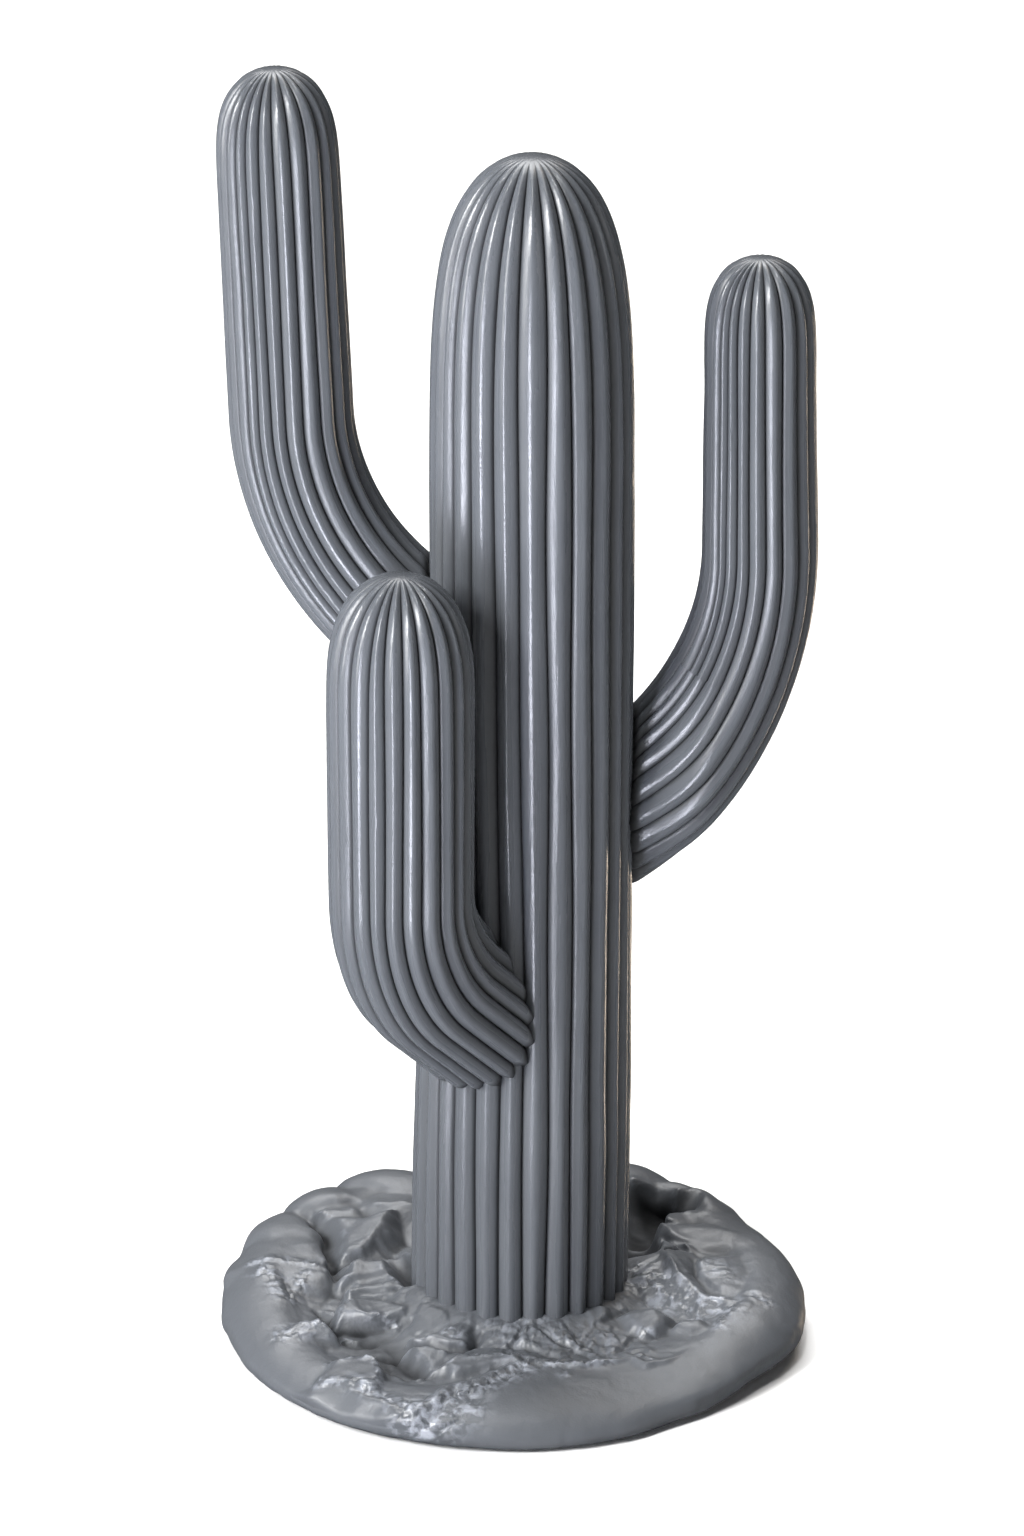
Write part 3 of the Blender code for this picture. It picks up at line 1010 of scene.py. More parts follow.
@dataclass
class RockBase:
    """The base: a loaf of rock with a raised rim, stones inside it and a smooth apron in front."""

    node: str = "rock_base"
    seed: int = 3
    sides: int = 580
    wall_rings: int = 46
    top_rings: int = 122
    wall: tuple[Point, ...] = (
        (50.6, 0.0), (52.8, 1.4), (54.4, 3.4), (54.9, 5.6), (54.2, 8.0), (52.0, 10.4), (48.8, 12.0),
        (45.0, 12.4), (41.0, 10.6), (37.0, 8.6), (32.0, 7.9), (27.5, 8.6), (23.5, 10.6), (19.5, 12.2),
        (15.0, 12.6),
    )
    apron: tuple[Point, ...] = (
        (51.0, 0.0), (52.8, 1.2), (53.2, 2.4), (52.0, 4.0), (49.2, 5.7), (45.2, 7.0), (41.0, 8.0),
        (36.5, 8.8), (32.0, 9.3), (28.0, 9.8), (24.5, 10.7), (21.5, 11.8), (19.5, 12.4), (17.5, 12.6),
        (15.0, 12.8),
    )
    apron_swell: Swell = Swell(-62.0, 60.0)
    low_rim: Swell = Swell(-128.0, 75.0, 0.40)
    right_bulge: Swell = Swell(-20.0, 50.0, 0.9)
    undercut: Swell = Swell(-40.0, 34.0, 2.0)
    front_dip: Swell = Swell(-138.0, 60.0, 1.7)
    dip_radius: float = 33.0
    dip_half_width: float = 12.0
    # width in mm over which the creases between forms are filled
    edge: float = 0.4
    # how the forms' outlines are pushed about along x, and the same along y
    warps_x: tuple[Bumps, ...] = (Bumps(7.0, 0.7, 2, 0.0, 3.0), Bumps(2.8, 0.35, 2, 0.0, 3.0))
    warps_y: tuple[Bumps, ...] = (Bumps(7.0, 0.7, 2, 0.0, 51.0), Bumps(2.8, 0.35, 2, 0.0, 51.0))
    # lumps all over, and the upright streaks left by smoothing the wall, and how much of both is on top
    lumps: tuple[Bumps, ...] = (
        Bumps(13.0, 0.50, 1, 0.6), Bumps(6.0, 0.24, 2, 1.0, 31.0), Bumps(2.6, 0.07, 2, 0.18)
    )
    lumps_on_top: float = 0.6
    # shallow folds over the top: their size, height, middle level and the share of z that counts
    fold_size: float = 2.8
    fold_height: float = 0.10
    fold_level: float = 0.45
    fold_z_share: float = 0.6
    # how far the crumpled edges stand up, in mm
    crumple_lift: float = 0.25
    # where a share goes from 0 to 1, in radius and in height: the rim, the rubble inside it, the fine
    # relief, the painted shade of deep places, the bulge and undercut of the wall, its foot, and the gloss
    # with its painted highlight
    rim_radii: Span = (34.0, 42.0)
    rubble_radii: Span = (45.0, 39.0)
    relief_radii: Span = (50.0, 44.0)
    dark_radii: Span = (42.0, 36.0)
    bulge_heights: Span = (0.0, 3.0)
    undercut_heights: Span = (7.0, 2.0)
    foot_heights: Span = (0.0, 1.5)
    gloss_heights: Span = (1.2, 3.2)
    dark_heights: Span = (7.6, 4.6)
    # the same for how far a stone stands up, how far up the surface faces and how deep a pocket is,
    # which sets its painted shade
    bare_rises: Span = (0.0, 0.8)
    upward: Span = (0.1, 0.7)
    pocket_depths: Span = (0.6, 6.6)
    # the same for how far the surface lies below or above its surroundings: painted shade below it,
    # and gloss with a painted highlight above it
    cavity_depths: Span = (0.0, -1.1)
    cavity_rises: Span = (0.0, 0.7)
    # the same behind the front crest, and where the apron goes on past its right end
    crest_back: Span = (-0.5, 1.0)
    apron_x: Span = (33.0, 39.0)
    apron_y: Span = (-6.0, -14.0)
    # how much the high places are rubbed: glossier, and painted paler as a highlight
    rubbed_rises: float = 0.3
    # how many times values are averaged with their neighbours
    cavity_softening: int = 16
    direction_softening: int = 14
    # curve points between two of an outline's points, and the outline's point at the wall's shoulder
    curve_samples: int = 24
    shoulder_knot: int = 4
    # share by which the casting stays inside the node's box
    box_margin: float = 0.0005

    boulders: tuple[Boulder, ...] = (
        # the rim's lumps, from the left round the back to the right
        Boulder(-43.0, 21.0, 13.0, 11.0, 8.0, -60.0),
        Boulder(-35.5, 33.5, 13.5, 12.0, 7.5, -44.0),
        Boulder(-23.0, 41.5, 14.0, 14.0, 7.0, -29.0),
        Boulder(-8.5, 45.0, 13.6, 7.5, 7.5, -6.0),
        Boulder(6.0, 45.5, 13.9, 13.0, 6.0, 6.0),
        Boulder(20.5, 43.5, 14.5, 9.0, 7.5, -24.0),
        Boulder(33.0, 34.0, 13.8, 12.0, 6.0, -44.0),
        Boulder(44.0, 15.0, 12.6, 6.0, 9.0, 14.0),
        Boulder(48.0, -2.0, 11.8, 6.0, 12.0, 0.0),
        # behind the trunk
        Boulder(-14.0, 31.5, 12.2, 7.4, 5.0, 14.0, 4.4, 3.4, 0.0, 0.10),
        Boulder(1.5, 32.5, 11.6, 6.6, 5.0, -8.0, 4.0, 3.0, 0.0, 0.12),
        Boulder(11.4, 31.0, 11.0, 5.0, 5.0, -20.0, 4.6, 3.0, 0.05, 0.06),
    )
    stones: tuple[Stone, ...] = (
        # the left lobe of the rim, and the stack between it and the trunk
        Stone((
            (-53.1, 3.6), (-50.2, 9.7), (-44.9, 13.4), (-39.3, 18.9), (-35.4, 12.0), (-34.5, 2.4),
            (-36.7, -1.7), (-40.8, -3.1), (-47.3, 0.9),
        ), 11.8, 0.06, 0.16, 5.0, 4.0),
        Stone((
            (-34.9, 24.7), (-29.1, 25.9), (-23.0, 27.7), (-22.2, 18.9), (-24.8, 13.3), (-28.1, 10.0),
            (-33.5, 9.5), (-35.9, 16.2),
        ), 13.0, 0.05, 0.18, 2.6, 4.0),
        Stone((
            (-32.6, 4.3), (-27.7, 6.6), (-22.8, 6.6), (-22.3, 1.5), (-28.0, -1.2), (-32.5, -0.3),
        ), 12.2, 0.04, 0.22, 1.8, 3.0),
        Stone((
            (-30.9, -4.3), (-26.5, -2.0), (-22.3, -1.5), (-21.5, -5.6), (-26.4, -6.6), (-30.5, -7.0),
        ), 11.6, -0.01, 0.28, 1.5, 2.6),
        Stone((
            (-34.2, -11.4), (-30.1, -8.3), (-24.1, -7.8), (-18.6, -12.3), (-19.1, -14.5),
            (-26.3, -15.4), (-33.4, -15.0),
        ), 11.2, 0.04, 0.06, 1.3, 4.4),
        Stone((
            (-43.3, -17.8), (-39.8, -15.9), (-36.0, -15.4), (-33.5, -20.0), (-36.7, -20.9),
            (-42.6, -23.1),
        ), 9.8, 0.08, 0.3, 1.8, 3.0),
        # the front left: the raised flap, the wedge, and the slabs behind the crest
        Stone((
            (-36.2, -38.6), (-33.9, -31.2), (-30.9, -30.1), (-25.3, -30.8), (-23.8, -36.4),
            (-24.6, -42.0),
        ), 9.2, 0.09, 0.11, 1.3, 2.4),
        Stone((
            (-18.7, -22.4), (-12.7, -21.0), (-7.3, -18.0), (-5.8, -18.9), (-7.7, -26.4), (-11.9, -26.4),
        ), 11.6, -0.03, 0.2, 1.5, 4.2),
        Stone((
            (-20.5, -26.9), (-15.7, -26.0), (-11.0, -28.1), (-11.7, -31.2), (-14.9, -33.9),
            (-17.5, -30.8),
        ), 9.4, 0.11, 0.26, 1.3, 2.6),
        Stone((
            (-12.8, -33.8), (-10.2, -32.2), (-4.5, -32.0), (1.5, -31.1), (2.2, -33.8), (-4.8, -35.1),
            (-10.4, -37.3),
        ), 10.0, 0.03, 0.16, 1.3, 2.4),
        # pebbles beside the foot on the right
        Stone((
            (11.6, -15.3), (14.7, -13.1), (17.6, -14.0), (18.0, -16.7), (14.6, -20.5),
        ), 11.9, -0.01, 0.22, 1.6, 2.4),
        Stone((
            (19.7, -15.8), (22.9, -13.5), (26.3, -13.1), (29.8, -16.7), (29.2, -19.4), (25.8, -21.6),
            (21.7, -20.3),
        ), 11.7, 0.02, 0.2, 2.6, 2.8),
        Stone((
            (29.4, -19.8), (32.6, -17.6), (36.0, -17.6), (37.4, -20.7), (33.3, -22.5),
        ), 10.9, 0.03, 0.26, 1.8, 2.2),
        # the arched boulder, the hump beside it and the block behind them
        Stone((
            (21.9, -3.2), (23.5, 2.2), (26.5, 5.9), (31.1, 4.5), (35.6, 0.4), (37.7, -7.8),
            (35.4, -9.6), (29.4, -7.5), (24.1, -5.8),
        ), 13.4, 0.03, 0.3, 3.4, 6.0),
        Stone((
            (35.0, 3.5), (37.9, 6.7), (42.5, 6.3), (44.3, 0.3), (43.7, -7.0), (39.5, -8.8), (36.6, -5.1),
        ), 13.4, 0.0, 0.14, 4.0, 3.6),
        Stone((
            (28.9, 23.6), (36.7, 22.2), (43.9, 17.1), (42.2, 11.5), (36.1, 10.6), (34.7, 13.8),
            (30.2, 17.5),
        ), 13.0, 0.03, 0.16, 2.6, 3.0),
    )
    crests: tuple[Crest, ...] = (
        # along the front, from the left, with the apron on its right-hand side
        Crest((
            (-36.1, -39.5, 7.4), (-30.4, -40.3, 7.8), (-27.4, -43.3, 8.0), (-22.1, -47.1, 8.2),
            (-19.9, -49.2, 8.2), (-14.8, -48.3, 8.8), (-11.8, -43.6, 9.4), (-5.9, -41.1, 9.6),
            (-2.2, -37.6, 9.8), (1.5, -34.4, 9.9), (4.3, -32.7, 9.9), (8.9, -34.6, 9.7),
            (12.6, -33.8, 9.7), (17.3, -32.0, 9.7), (22.0, -31.0, 9.6), (24.7, -32.9, 9.3),
            (28.5, -31.2, 9.3), (33.2, -27.7, 9.2),
        ), 0.5, 0.9),
        Crest((
            (-12.6, -34.2, 9.2), (-10.0, -32.9, 10.2), (-4.1, -32.4, 10.4), (1.5, -31.6, 10.4),
        ), 0.25, 1.0),
        Crest((
            (22.4, 1.0, 12.4), (26.1, 4.5, 15.2), (28.7, 0.4, 15.2), (31.0, -3.6, 14.2),
            (34.2, -6.4, 13.4), (37.2, -9.4, 12.6), (40.4, -10.9, 12.0),
        ), 0.3, 0.75),
        Crest(((34.1, 12.5, 13.2), (35.5, 7.5, 12.6)), 0.8, 0.8),
        Crest(((23.3, 38.9, 14.6), (27.8, 30.0, 14.0), (31.2, 24.9, 13.4)), 0.5, 1.4),
        Crest(((-21.5, 32.4, 14.6), (-26.1, 30.5, 14.2), (-30.7, 29.0, 13.4)), 0.5, 0.5),
        Crest(((-49.7, 5.0, 10.8), (-43.1, 5.5, 11.8), (-37.9, 4.6, 11.8)), 0.25, 0.9),
    )
    hollows: tuple[Boulder, ...] = (
        Boulder(-20.8, 5.0, 6.5, 2.8, 11.0, 10.0, -6.0, 2.4),
        Boulder(-20.0, -32.0, 5.9, 3.4, 6.5, 30.0, -3.0, 2.2),
        Boulder(25.0, 28.5, 4.6, 5.2, 9.0, -14.0, -6.0, 3.0),
        Boulder(32.6, 32.0, 9.4, 3.0, 5.0, -40.0, -4.0, 2.2),
        Boulder(23.0, 16.0, 4.0, 5.0, 9.0, 0.0, -6.0, 2.8),
        Boulder(-3.0, 26.0, 8.0, 9.0, 2.8, 0.0, -3.0, 2.2),
    )
    # creases, with their widths and depths
    creases: tuple[Trail, ...] = (
        Trail((
            (-39.5, 28.1), (-37.6, 24.8), (-35.4, 18.7), (-34.5, 12.1), (-34.0, 7.0), (-31.7, 3.3),
        ), 1.6, 2.8),
        Trail(((-33.5, 9.5), (-28.2, 10.4), (-24.8, 14.0), (-22.1, 13.6)), 0.8, 0.9),
        Trail(((-31.4, -0.8), (-26.9, 0.5), (-22.4, 2.4)), 0.6, 0.7),
        Trail(((-32.4, -7.5), (-26.8, -5.3), (-21.5, -4.8)), 0.6, 0.6),
        Trail(((-33.0, -18.3), (-29.2, -20.0), (-21.8, -17.8), (-18.8, -16.0)), 0.8, 0.8),
        Trail(((-36.6, -8.1), (-35.0, -10.8), (-33.0, -17.4)), 0.9, 1.3),
        Trail(((-24.1, -25.6), (-21.3, -26.5), (-18.6, -30.5), (-16.4, -35.2)), 1.1, 1.4),
        Trail(((-23.1, -30.0), (-20.8, -33.5), (-18.9, -36.5)), 0.7, 0.8),
        Trail(((-18.7, -21.2), (-15.3, -23.4), (-11.9, -26.0), (-7.8, -26.0), (-5.6, -22.5)), 0.7, 0.8),
        Trail(((-12.3, -32.1), (-14.9, -34.3), (-16.4, -33.9)), 0.6, 0.8),
        Trail(((-19.7, -47.9), (-19.5, -50.1), (-19.9, -51.4)), 0.5, 1.0),
        Trail(((19.9, -16.3), (21.7, -20.3), (25.8, -22.1), (30.0, -19.4)), 0.6, 0.7),
        Trail(((17.4, -17.6), (19.1, -15.4), (22.2, -11.8), (26.3, -10.9), (30.0, -14.9)), 0.6, 0.5),
        Trail(((30.0, -18.5), (32.3, -16.7), (35.3, -15.8), (38.2, -18.9)), 0.5, 0.6),
        Trail(((35.7, 5.2), (36.1, -2.0), (37.7, -7.0)), 1.0, 0.9),
        Trail(((29.0, 16.4), (33.9, 11.0), (36.1, 8.8)), 1.0, 1.2),
        Trail(((22.4, -28.2), (24.1, -27.3), (26.1, -29.5), (29.1, -29.5)), 0.5, 0.5),
        Trail(((44.8, -8.9), (47.4, -10.3)), 0.7, 0.7),
        Trail(((-36.5, 29.8), (-33.0, 29.8), (-30.8, 31.2), (-26.9, 27.1)), 1.6, 1.4),
        Trail(((28.0, 38.2), (32.4, 37.3)), 1.2, 1.2),
        Trail(((30.4, 33.1), (35.5, 29.3)), 1.6, 1.6),
    )
    # glossy crumpled edges where the pattern's clay was dragged, painted paler as a highlight too, with
    # their widths and strengths
    drags: tuple[Trail, ...] = (
        Trail(((-29.7, -39.5), (-25.9, -42.4), (-22.2, -45.8), (-19.9, -47.5)), 2.0, 1.0),
        Trail((
            (-19.9, -48.4), (-17.0, -49.3), (-13.3, -48.0), (-9.2, -45.4), (-5.2, -42.0), (-1.5, -38.1),
            (2.2, -34.6),
        ), 3.2, 1.0),
        Trail(((-18.8, -51.1), (-13.3, -51.5), (-7.7, -48.9)), 3.0, 0.9),
        Trail(((-33.9, -31.2), (-30.9, -30.4), (-25.7, -30.8)), 1.2, 0.9),
        Trail(((-36.0, -37.8), (-31.9, -39.0)), 1.4, 0.9),
        Trail(((-25.3, -31.2), (-24.5, -36.0), (-25.0, -40.7)), 1.0, 0.8),
        Trail(((-49.4, 6.3), (-43.1, 6.4), (-37.9, 5.5)), 1.2, 0.9),
        Trail(((-47.4, 2.6), (-44.7, -0.6), (-42.7, -5.6)), 2.6, 0.9),
        Trail(((-39.4, 2.7), (-40.8, -3.2), (-42.3, -6.4)), 1.6, 0.8),
        Trail(((-42.7, -20.5), (-39.0, -18.6), (-36.4, -17.7)), 2.6, 0.9),
        Trail(((-25.9, -14.5), (-21.8, -15.4)), 0.8, 0.9),
        Trail(((-31.3, -17.8), (-29.2, -18.7)), 0.9, 0.9),
        Trail(((-12.0, -22.0), (-10.5, -23.3)), 2.0, 0.9),
        Trail(((-12.6, -33.8), (-10.0, -32.0), (-4.1, -32.0), (1.5, -32.0)), 0.9, 0.9),
        Trail(((-1.3, -22.0), (16.4, -25.0)), 5.0, 0.45),
        Trail(((1.5, -32.9), (6.1, -34.2), (11.7, -33.3), (17.3, -31.6)), 1.8, 1.0),
        Trail(((8.9, -33.4), (10.0, -37.7)), 1.6, 0.5),
        Trail((
            (24.6, -1.5), (27.4, -4.2), (30.2, -7.8), (34.0, -10.6), (38.4, -12.4), (40.2, -13.0),
        ), 4.2, 0.8),
        Trail(((39.9, -9.6), (39.6, -14.6), (38.9, -20.4)), 1.4, 0.8),
        Trail(((37.1, 3.0), (40.8, -1.5)), 3.0, 0.5),
        Trail(((23.9, -21.2), (26.6, -21.2)), 0.8, 0.9),
        Trail(((24.6, -29.5), (26.1, -29.9)), 1.0, 0.8),
        Trail(((45.2, -9.8), (48.2, -11.6)), 1.6, 0.8),
        Trail(((-37.6, 28.5), (-34.9, 26.1)), 1.0, 0.5),
    )
    rubble: tuple[Rubble, ...] = (
        Rubble(seed=5, size=7.0, height=0.90, crack=0.22),
        Rubble(seed=6, size=3.6, height=0.40, crack=0.25),
        Rubble(seed=7, size=1.7, height=0.20, crack=0.35),
    )
    facets: tuple[Rubble, ...] = (
        Rubble(seed=8, size=3.6, height=0.34, tilt=1.6, crack=0.16),
        Rubble(seed=9, size=1.7, height=0.10, tilt=1.6, crack=0.2),
    )
    rubble_strip: Trail = Trail(((-6.0, -24.0), (2.0, -27.0), (12.0, -27.0), (20.0, -25.0)), 6.0, 1.0)
    rubble_elsewhere: float = 0.3
    rubble_on_stones: float = 0.25
    # radius at which the surface is unrolled to lay the facets
    unroll_radius: float = 46.0

    def outline(self, points: tuple[Point, ...]) -> Array:
        """Draws a smooth curve through an outline's points, with few rings on the wall and many on top.

        Args:
            points: radius and height pairs, from the floor up and inwards.

        Returns:
            The curve, as rings by two.
        """
        knots = np.array(points)
        padded = np.concatenate([[2.0 * knots[0] - knots[1]], knots, [2.0 * knots[-1] - knots[-2]]])
        t = np.linspace(0.0, 1.0, self.curve_samples, endpoint=False)[:, None]
        curve = []
        for before, start, end, after in zip(padded, padded[1:], padded[2:], padded[3:]):
            bend = 2.0 * before - 5.0 * start + 4.0 * end - after
            twist = 3.0 * start - before - 3.0 * end + after
            curve.append(0.5 * (2.0 * start + (end - before) * t + bend * t**2 + twist * t**3))
        curve = np.concatenate([*curve, knots[-1:]])
        length = np.concatenate([[0.0], np.cumsum(np.linalg.norm(np.diff(curve, axis=0), axis=1))])
        shoulder = length[self.shoulder_knot * self.curve_samples]
        spread = np.concatenate([
            np.linspace(0.0, shoulder, self.wall_rings, endpoint=False),
            np.linspace(shoulder, length[-1], self.top_rings),
        ])
        return np.stack([np.interp(spread, length, column) for column in curve.T], axis=-1)

    def loaf(self) -> tuple[Array, Array]:
        """The plain loaf under the rock.

        Returns:
            Its points and its outward directions, as rings by sides by three.
        """
        azimuth = np.linspace(0.0, 360.0, self.sides, endpoint=False)
        share = self.apron_swell.at(azimuth)[None, :]
        wall, apron = self.outline(self.wall), self.outline(self.apron)
        radius = blend(wall[:, :1], apron[:, :1], share)
        rim = ramp(radius, *self.rim_radii)
        radius = radius + rim * ramp(wall[:, 1:], *self.bulge_heights) * self.right_bulge.at(azimuth)
        radius = radius - self.undercut.at(azimuth) * ramp(wall[:, 1:], *self.undercut_heights) * rim
        height = wall[:, 1:] * (1.0 - rim * self.low_rim.at(azimuth))
        height = blend(height, apron[:, 1:], share)
        dip = smoothstep(1.0 - np.abs(radius - self.dip_radius) / self.dip_half_width)
        height = height - dip * self.front_dip.at(azimuth)
        angle = np.radians(azimuth)
        points = np.stack([radius * np.cos(angle), radius * np.sin(angle), height], axis=-1)
        steps = np.arange(len(radius), dtype=float)
        rise, out = np.gradient(height, steps, axis=0), np.gradient(radius, steps, axis=0)
        lift, push = -out / np.hypot(rise, out), rise / np.hypot(rise, out)
        for _ in range(self.direction_softening):
            lift, push = self.softened_along(lift), self.softened_along(push)
        length = np.hypot(lift, push)
        lift, push = lift / length, push / length
        return points, np.stack([push * np.cos(angle), push * np.sin(angle), lift], axis=-1)

    @staticmethod
    def softened_along(values: Array) -> Array:
        """Averages each ring's values with those of the rings beside it."""
        padded = np.concatenate([values[:1], values, values[-1:]])
        return 0.25 * padded[:-2] + 0.5 * padded[1:-1] + 0.25 * padded[2:]

    @classmethod
    def softened(cls, values: Array, times: int) -> Array:
        """Averages values with their neighbours, along and around.

        Args:
            values: the values, as rings by sides.
            times: how often.

        Returns:
            The new values.
        """
        for _ in range(times):
            values = cls.softened_along(values)
            values = 0.25 * np.roll(values, 1, 1) + 0.5 * values + 0.25 * np.roll(values, -1, 1)
        return values

    def rock_height(self, points: Array, noise: Noise) -> tuple[Array, Array]:
        """Height of the rock in plan, and how deep its pockets are cut.

        Args:
            points: points of the loaf.
            noise: noise that breaks up the outlines.

        Returns:
            The heights, and the depths below the stones around.
        """
        x, y, ground = points[..., 0], points[..., 1], points[..., 2]
        for along_x, along_y in zip(self.warps_x, self.warps_y):
            x, y = x + along_x.at(noise, points), y + along_y.at(noise, points)
        height = ground
        for form in (*self.boulders, *self.stones, *self.crests):
            height = smooth_max(height, form.height(x, y), self.edge)
        bare = ramp(height - ground, *self.bare_rises)
        uncut = height
        for hollow in self.hollows:
            height = -smooth_max(-height, -hollow.height(x, y), self.edge)
        pocket = uncut - height
        for crease in self.creases:
            height = height - crease.at(x, y)
        inside = ramp(plan_radius(points), *self.rubble_radii) * self.behind_crest(x, y)
        strip = self.rubble_strip.at(x, y)
        share = np.maximum(strip, self.rubble_elsewhere)
        share = share * blend(1.0, self.rubble_on_stones, bare * (1.0 - strip))
        for rubble in self.rubble:
            height = height + rubble.at(x, y) * share * inside
        return height, pocket

    def behind_crest(self, x: Array, y: Array) -> Array:
        """Tells the ground inside the front crest from the smooth apron in front of it.

        Args:
            x: positions in mm.
            y: positions in mm.

        Returns:
            1 on the trunk's side of the crest and 0 on the apron.
        """
        line = np.array(self.crests[0].points)
        edge = np.interp(x, line[:, 0], line[:, 1], left=-np.inf, right=-np.inf)
        right = ramp(x, *self.apron_x) * ramp(y, *self.apron_y)
        return ramp(y - edge, *self.crest_back) * (1.0 - right)

    def fine_relief(self, points: Array, surface: Array, gloss: Array, noise: Noise) -> Array:
        """Height of the shallow folds on top and of the facets that the glossy edges are broken into.

        Args:
            points: points of the loaf.
            surface: the same points with the rock's relief.
            gloss: how glossy each is.
            noise: noise for the folds.

        Returns:
            Heights in mm.
        """
        inner = ramp(plan_radius(points), *self.relief_radii)
        folds = noise.ridged(surface * (1.0, 1.0, self.fold_z_share), self.fold_size, 3) - self.fold_level
        steps = np.linalg.norm(np.diff(points, axis=0, prepend=points[:1]), axis=-1)
        around = np.arange(self.sides) * (math.tau * self.unroll_radius / self.sides)
        around = np.broadcast_to(around, steps.shape)
        broken = sum(facet.at(around, np.cumsum(steps, axis=0)) for facet in self.facets)
        return self.fold_height * inner * folds + gloss * (broken + self.crumple_lift)

    def fitted(self, surface: Array) -> Array:
        """Keeps the rock on the floor and within the box of its node.

        Args:
            surface: its points.

        Returns:
            The new points.
        """
        surface = surface.copy()
        surface[..., 2] = np.maximum(surface[..., 2], 0.0)
        surface[0, :, 2] = 0.0
        low, high = (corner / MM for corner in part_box(self.node))
        for axis in (0, 1):
            limit = min(high[axis] / surface[..., axis].max(), low[axis] / surface[..., axis].min())
            surface[..., axis] *= min(1.0, limit - self.box_margin)
        return surface

    def painted_light_and_gloss(self, points: Array, z: Array, relief: Array, pocket: Array, gloss: Array) -> dict[str, Array]:
        """How much shade is painted into the rock's colour, and how glossy it is with a paler painted
        highlight, for the material.

        Args:
            points: points of the loaf.
            z: height of the finished surface.
            relief: how far it stands out from the loaf.
            pocket: how deep its pockets are cut.
            gloss: how glossy its dragged edges are, where a paler highlight is painted.

        Returns:
            The values hollow and rubbed, from 0 to 1.
        """
        radius = plan_radius(points)
        inner = ramp(radius, *self.relief_radii)
        cavity = relief - self.softened(relief, self.cavity_softening)
        # painted shade: the low ground inside the crest and the deep pockets, where the trunk and the
        # stones cast their shadow, get the dark colour
        painted_shade = ramp(z, *self.dark_heights) * ramp(radius, *self.dark_radii)
        painted_shade *= self.behind_crest(points[..., 0], points[..., 1])
        painted_shade = np.maximum(painted_shade, ramp(pocket, *self.pocket_depths))
        # painted highlight: the dragged edges and raised places are glossier and painted paler
        rubbed = gloss + self.rubbed_rises * ramp(cavity, *self.cavity_rises) * inner
        # the first value paints shade into creases, pockets and low ground; the second gives gloss and a
        # paler painted highlight
        return {
            "hollow": np.maximum(ramp(cavity, *self.cavity_depths) * inner, painted_shade),
            "rubbed": np.clip(rubbed, 0.0, 1.0),
        }

    def build(self, material: Material) -> None:
        """Builds and dresses the base.

        Args:
            material: its finish.
        """
        points, directions = self.loaf()
        noise = Noise(self.seed)
        height, pocket = self.rock_height(points, noise)
        upward = ramp(directions[..., 2], *self.upward)
        relief = (height - points[..., 2]) * upward * directions[..., 2]
        lumps = sum(bumps.at(noise, points) for bumps in self.lumps)
        foot = ramp(points[..., 2], *self.foot_heights)
        relief = self.softened(relief, 1) + lumps * blend(self.lumps_on_top, 1.0, 1.0 - upward) * foot
        surface = points + directions * relief[..., None]
        gloss = np.zeros(relief.shape)
        for drag in self.drags:
            gloss = np.maximum(gloss, drag.at(surface[..., 0], surface[..., 1]))
        gloss *= ramp(surface[..., 2], *self.gloss_heights)
        fine = self.fine_relief(points, surface, gloss, noise) * foot
        surface = self.fitted(surface + directions * fine[..., None])
        values = self.painted_light_and_gloss(points, surface[..., 2], relief + fine, pocket, gloss)
        ends = (np.zeros(3), surface[-1].mean(axis=0))
        casting = build_mesh("rock_casting", surface, ends, surface, values)
        dress(casting, material, self.node)


@dataclass(frozen=True)
class Softbox:
    """One soft light: its bearing from the front, place, size and power, and the height it is aimed at.

    The spread, in degrees, is how widely a grid over the light lets it fan out.
    """

    name: str
    bearing: float
    height: float
    distance: float
    width: float
    tall: float
    power: float
    aim: float = 0.12
    color: str = "#ffffff"
    spread: float = 180.0


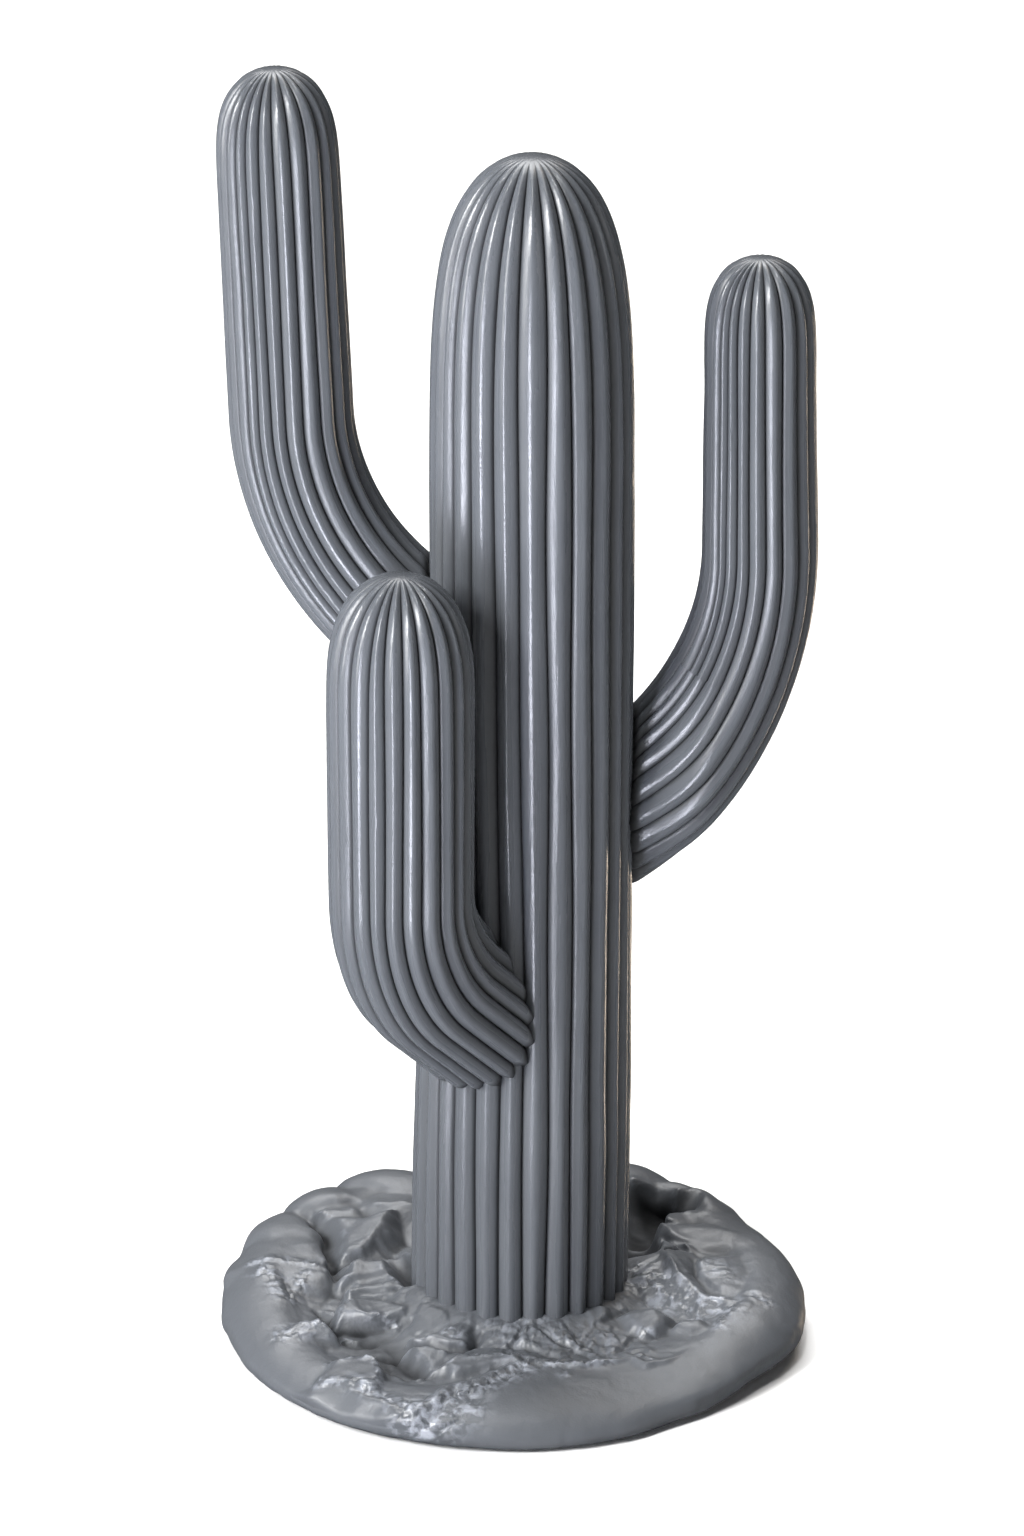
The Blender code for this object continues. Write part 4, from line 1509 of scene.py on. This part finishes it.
@dataclass(frozen=True)
class Studio:
    """A plain pale floor, soft lights and the camera. Sizes here are in metres."""

    floor_half: float = 6.0
    floor_color: str = "#fbfbfb"
    floor_roughness: float = 0.9
    ambient: float = 0.02
    camera_place: Place = (0.0, -1.590, 0.752)
    camera_aim: Place = (0.0, 0.0, 0.115)
    lens: float = 217.0
    sensor: float = 36.0
    # a large soft light far above: its strength, and its bearing, elevation and spread in degrees
    sky_power: float = 1.5
    sky_way: tuple[float, float] = (190.0, 72.0)
    sky_spread: float = 50.0
    lights: tuple[Softbox, ...] = (
        # the main light from the front left, and its lower part
        Softbox("key", -46.0, 0.9, 1.2, 0.30, 0.5, 28.0),
        Softbox("low_key", -60.0, 0.35, 1.2, 0.25, 0.8, 12.0),
        # draws a bright line along each rib that turns to it
        Softbox("strip", -29.0, 0.07, 0.40, 0.06, 0.26, 0.24, 0.20, "#eef1ff", 60.0),
        # the shaded side, and a warm edge on it from behind
        Softbox("fill", 62.0, 0.5, 1.4, 0.4, 0.5, 1.3),
        Softbox("rim", 135.0, 0.0, 0.40, 0.03, 0.24, 0.025, 0.166, "#ffe9cf", 50.0),
        # the back, the tips of the domes, and the paper behind the model
        Softbox("back_left", -150.0, 1.5, 1.0, 0.5, 0.5, 4.5),
        Softbox("back_right", 140.0, 1.4, 1.0, 0.5, 0.5, 3.0, 0.12, "#fff1e0"),
        Softbox("top", -5.0, 1.15, 0.3, 0.12, 0.12, 3.0, 0.02),
        Softbox("paper", 180.0, 1.5, 0.9, 0.9, 0.9, 14.0, -0.2),
    )

    def build(self) -> None:
        """Makes the floor, the surroundings, the lights and the camera."""
        scene = bpy.context.scene
        scene.view_settings.view_transform = "Standard"
        self.build_floor()
        world = bpy.data.worlds.new("studio_air")
        world.use_nodes = True
        background = world.node_tree.nodes["Background"]
        background.inputs["Color"].default_value = (1.0, 1.0, 1.0, 1.0)
        background.inputs["Strength"].default_value = self.ambient
        scene.world = world
        sky = bpy.data.lights.new("sky", "SUN")
        sky.energy = self.sky_power
        sky.angle = math.radians(self.sky_spread)
        bearing, rise = (math.radians(angle) for angle in self.sky_way)
        way = (math.sin(bearing) * math.cos(rise), -math.cos(bearing) * math.cos(rise), math.sin(rise))
        self.place(sky, way, (0.0, 0.0, 0.0))
        for light in self.lights:
            self.build_light(light)
        camera = bpy.data.cameras.new("camera")
        camera.lens = self.lens
        camera.sensor_width = self.sensor
        scene.camera = self.place(camera, self.camera_place, self.camera_aim)

    def build_floor(self) -> None:
        """Makes the floor of matt paper.

        The low strip light stands partly below it, as if the model were on a raised board. So the
        floor blocks no light and isn't mirrored in the resin.
        """
        half = self.floor_half
        mesh = bpy.data.meshes.new("floor")
        corners = [(-half, -half, 0.0), (half, -half, 0.0), (half, half, 0.0), (-half, half, 0.0)]
        mesh.from_pydata(corners, [], [(0, 1, 2, 3)])
        floor = bpy.data.objects.new("floor", mesh)
        floor.visible_glossy = False
        floor.visible_shadow = False
        bpy.context.scene.collection.objects.link(floor)
        material = bpy.data.materials.new("matt_paper")
        material.use_nodes = True
        shader = material.node_tree.nodes["Principled BSDF"]
        shader.inputs["Base Color"].default_value = linear(self.floor_color)
        shader.inputs["Roughness"].default_value = self.floor_roughness
        mesh.materials.append(material)

    def build_light(self, light: Softbox) -> None:
        """Makes one light, which doesn't show itself.

        Args:
            light: its sizes and its place.
        """
        data = bpy.data.lights.new(light.name, "AREA")
        data.shape = "RECTANGLE"
        data.size = light.width
        data.size_y = light.tall
        data.energy = light.power
        data.color = linear(light.color)[:3]
        data.spread = math.radians(light.spread)
        bearing = math.radians(light.bearing)
        stand = (light.distance * math.sin(bearing), -light.distance * math.cos(bearing), light.height)
        self.place(data, stand, (0.0, 0.0, light.aim)).visible_camera = False

    @staticmethod
    def place(data: bpy.types.ID, stand: Place, target: Place) -> Object:
        """Makes the object of a light or camera, stands it in its place and turns it to a target.

        Args:
            data: the light or the camera, whose name the object takes.
            stand: where it stands.
            target: what its -Z axis points at.

        Returns:
            The new object.
        """
        obj = bpy.data.objects.new(data.name, data)
        obj.location = stand
        obj.rotation_euler = (Vector(target) - Vector(stand)).to_track_quat("-Z", "Y").to_euler()
        bpy.context.scene.collection.objects.link(obj)
        return obj


def build_arms(trunk: Trunk) -> list[Arm]:
    """Makes the three arms with their sizes.

    Args:
        trunk: the trunk that they stand on.

    Returns:
        The left, the right and the front arm.
    """
    left = Arm(
        ribbing=Ribbing(
            count=22, flank=0.84, groove=0.32, seed=31,
            low=(-72.0, -58.8, -44.0, -31.5, -17.6, -2.7, 14.8, 32.8, 50.5, 67.0),
        ),
        skin=Skin(seed=81, nicks=9), trunk=trunk, name="left_arm", azimuth=170.0, reach=44.85,
        bend_height=185.3, bend_radius=52.6, turn=70.0, lean=2.4,
        root_radius=12.5, upright_radius=11.5, tip_radius=11.3, dome=Dome(23.6, 3.7),
    )
    right = Arm(
        ribbing=Ribbing(
            count=20, flank=0.84, groove=0.32, seed=32,
            low=(-64.0, -50.0, -40.0, -27.5, -13.2, 4.5, 23.6, 43.8, 62.8),
        ),
        skin=Skin(seed=82, nicks=9), trunk=trunk, name="right_arm", azimuth=10.0, reach=42.75,
        bend_height=155.9, bend_radius=61.8, turn=66.0, split_angle=24.0, lean=-0.5,
        root_radius=14.1, upright_radius=10.8, tip_radius=10.3, dome=Dome(26.0, 4.9), front_share=0.36,
    )
    front = Arm(
        ribbing=Ribbing(
            count=22, flank=0.98, groove=0.36, seed=33,
            low=(-62.5, -45.0, -27.0, -13.0, 2.6, 18.0, 35.0, 51.0, 65.0),
        ),
        skin=Skin(seed=83, nicks=9), trunk=trunk, name="front_arm", azimuth=228.4, reach=35.3,
        bend_height=101.2, bend_radius=27.4, turn=48.8, root_run=22.0,
        root_radius=14.3, upright_radius=13.4, tip_radius=13.55, dome=Dome(25.4, 3.1),
    )
    return [left, right, front]


def main() -> None:
    """Builds the studio and the model, piece by piece."""
    logging.basicConfig(level=logging.INFO, format="%(name)s %(message)s")
    Studio().build()
    ribbed = CastResin("ribbed_cast_resin").build()
    # the rock's finish lays a paler painted highlight on its dragged edges and raised places
    rock = CastResin(
        "rock_cast_resin", roughness=0.46, rubbed_roughness=0.28, streak=1.5, streak_depth=0.07,
        streak_stretch=0.6, crinkle_depth=0.40, painted_highlight=1.0,
    ).build()
    trunk = Trunk()
    trunk.build(ribbed)
    for arm in build_arms(trunk):
        arm.build(ribbed)
    RockBase().build(rock)


if __name__ == "__main__":
    main()
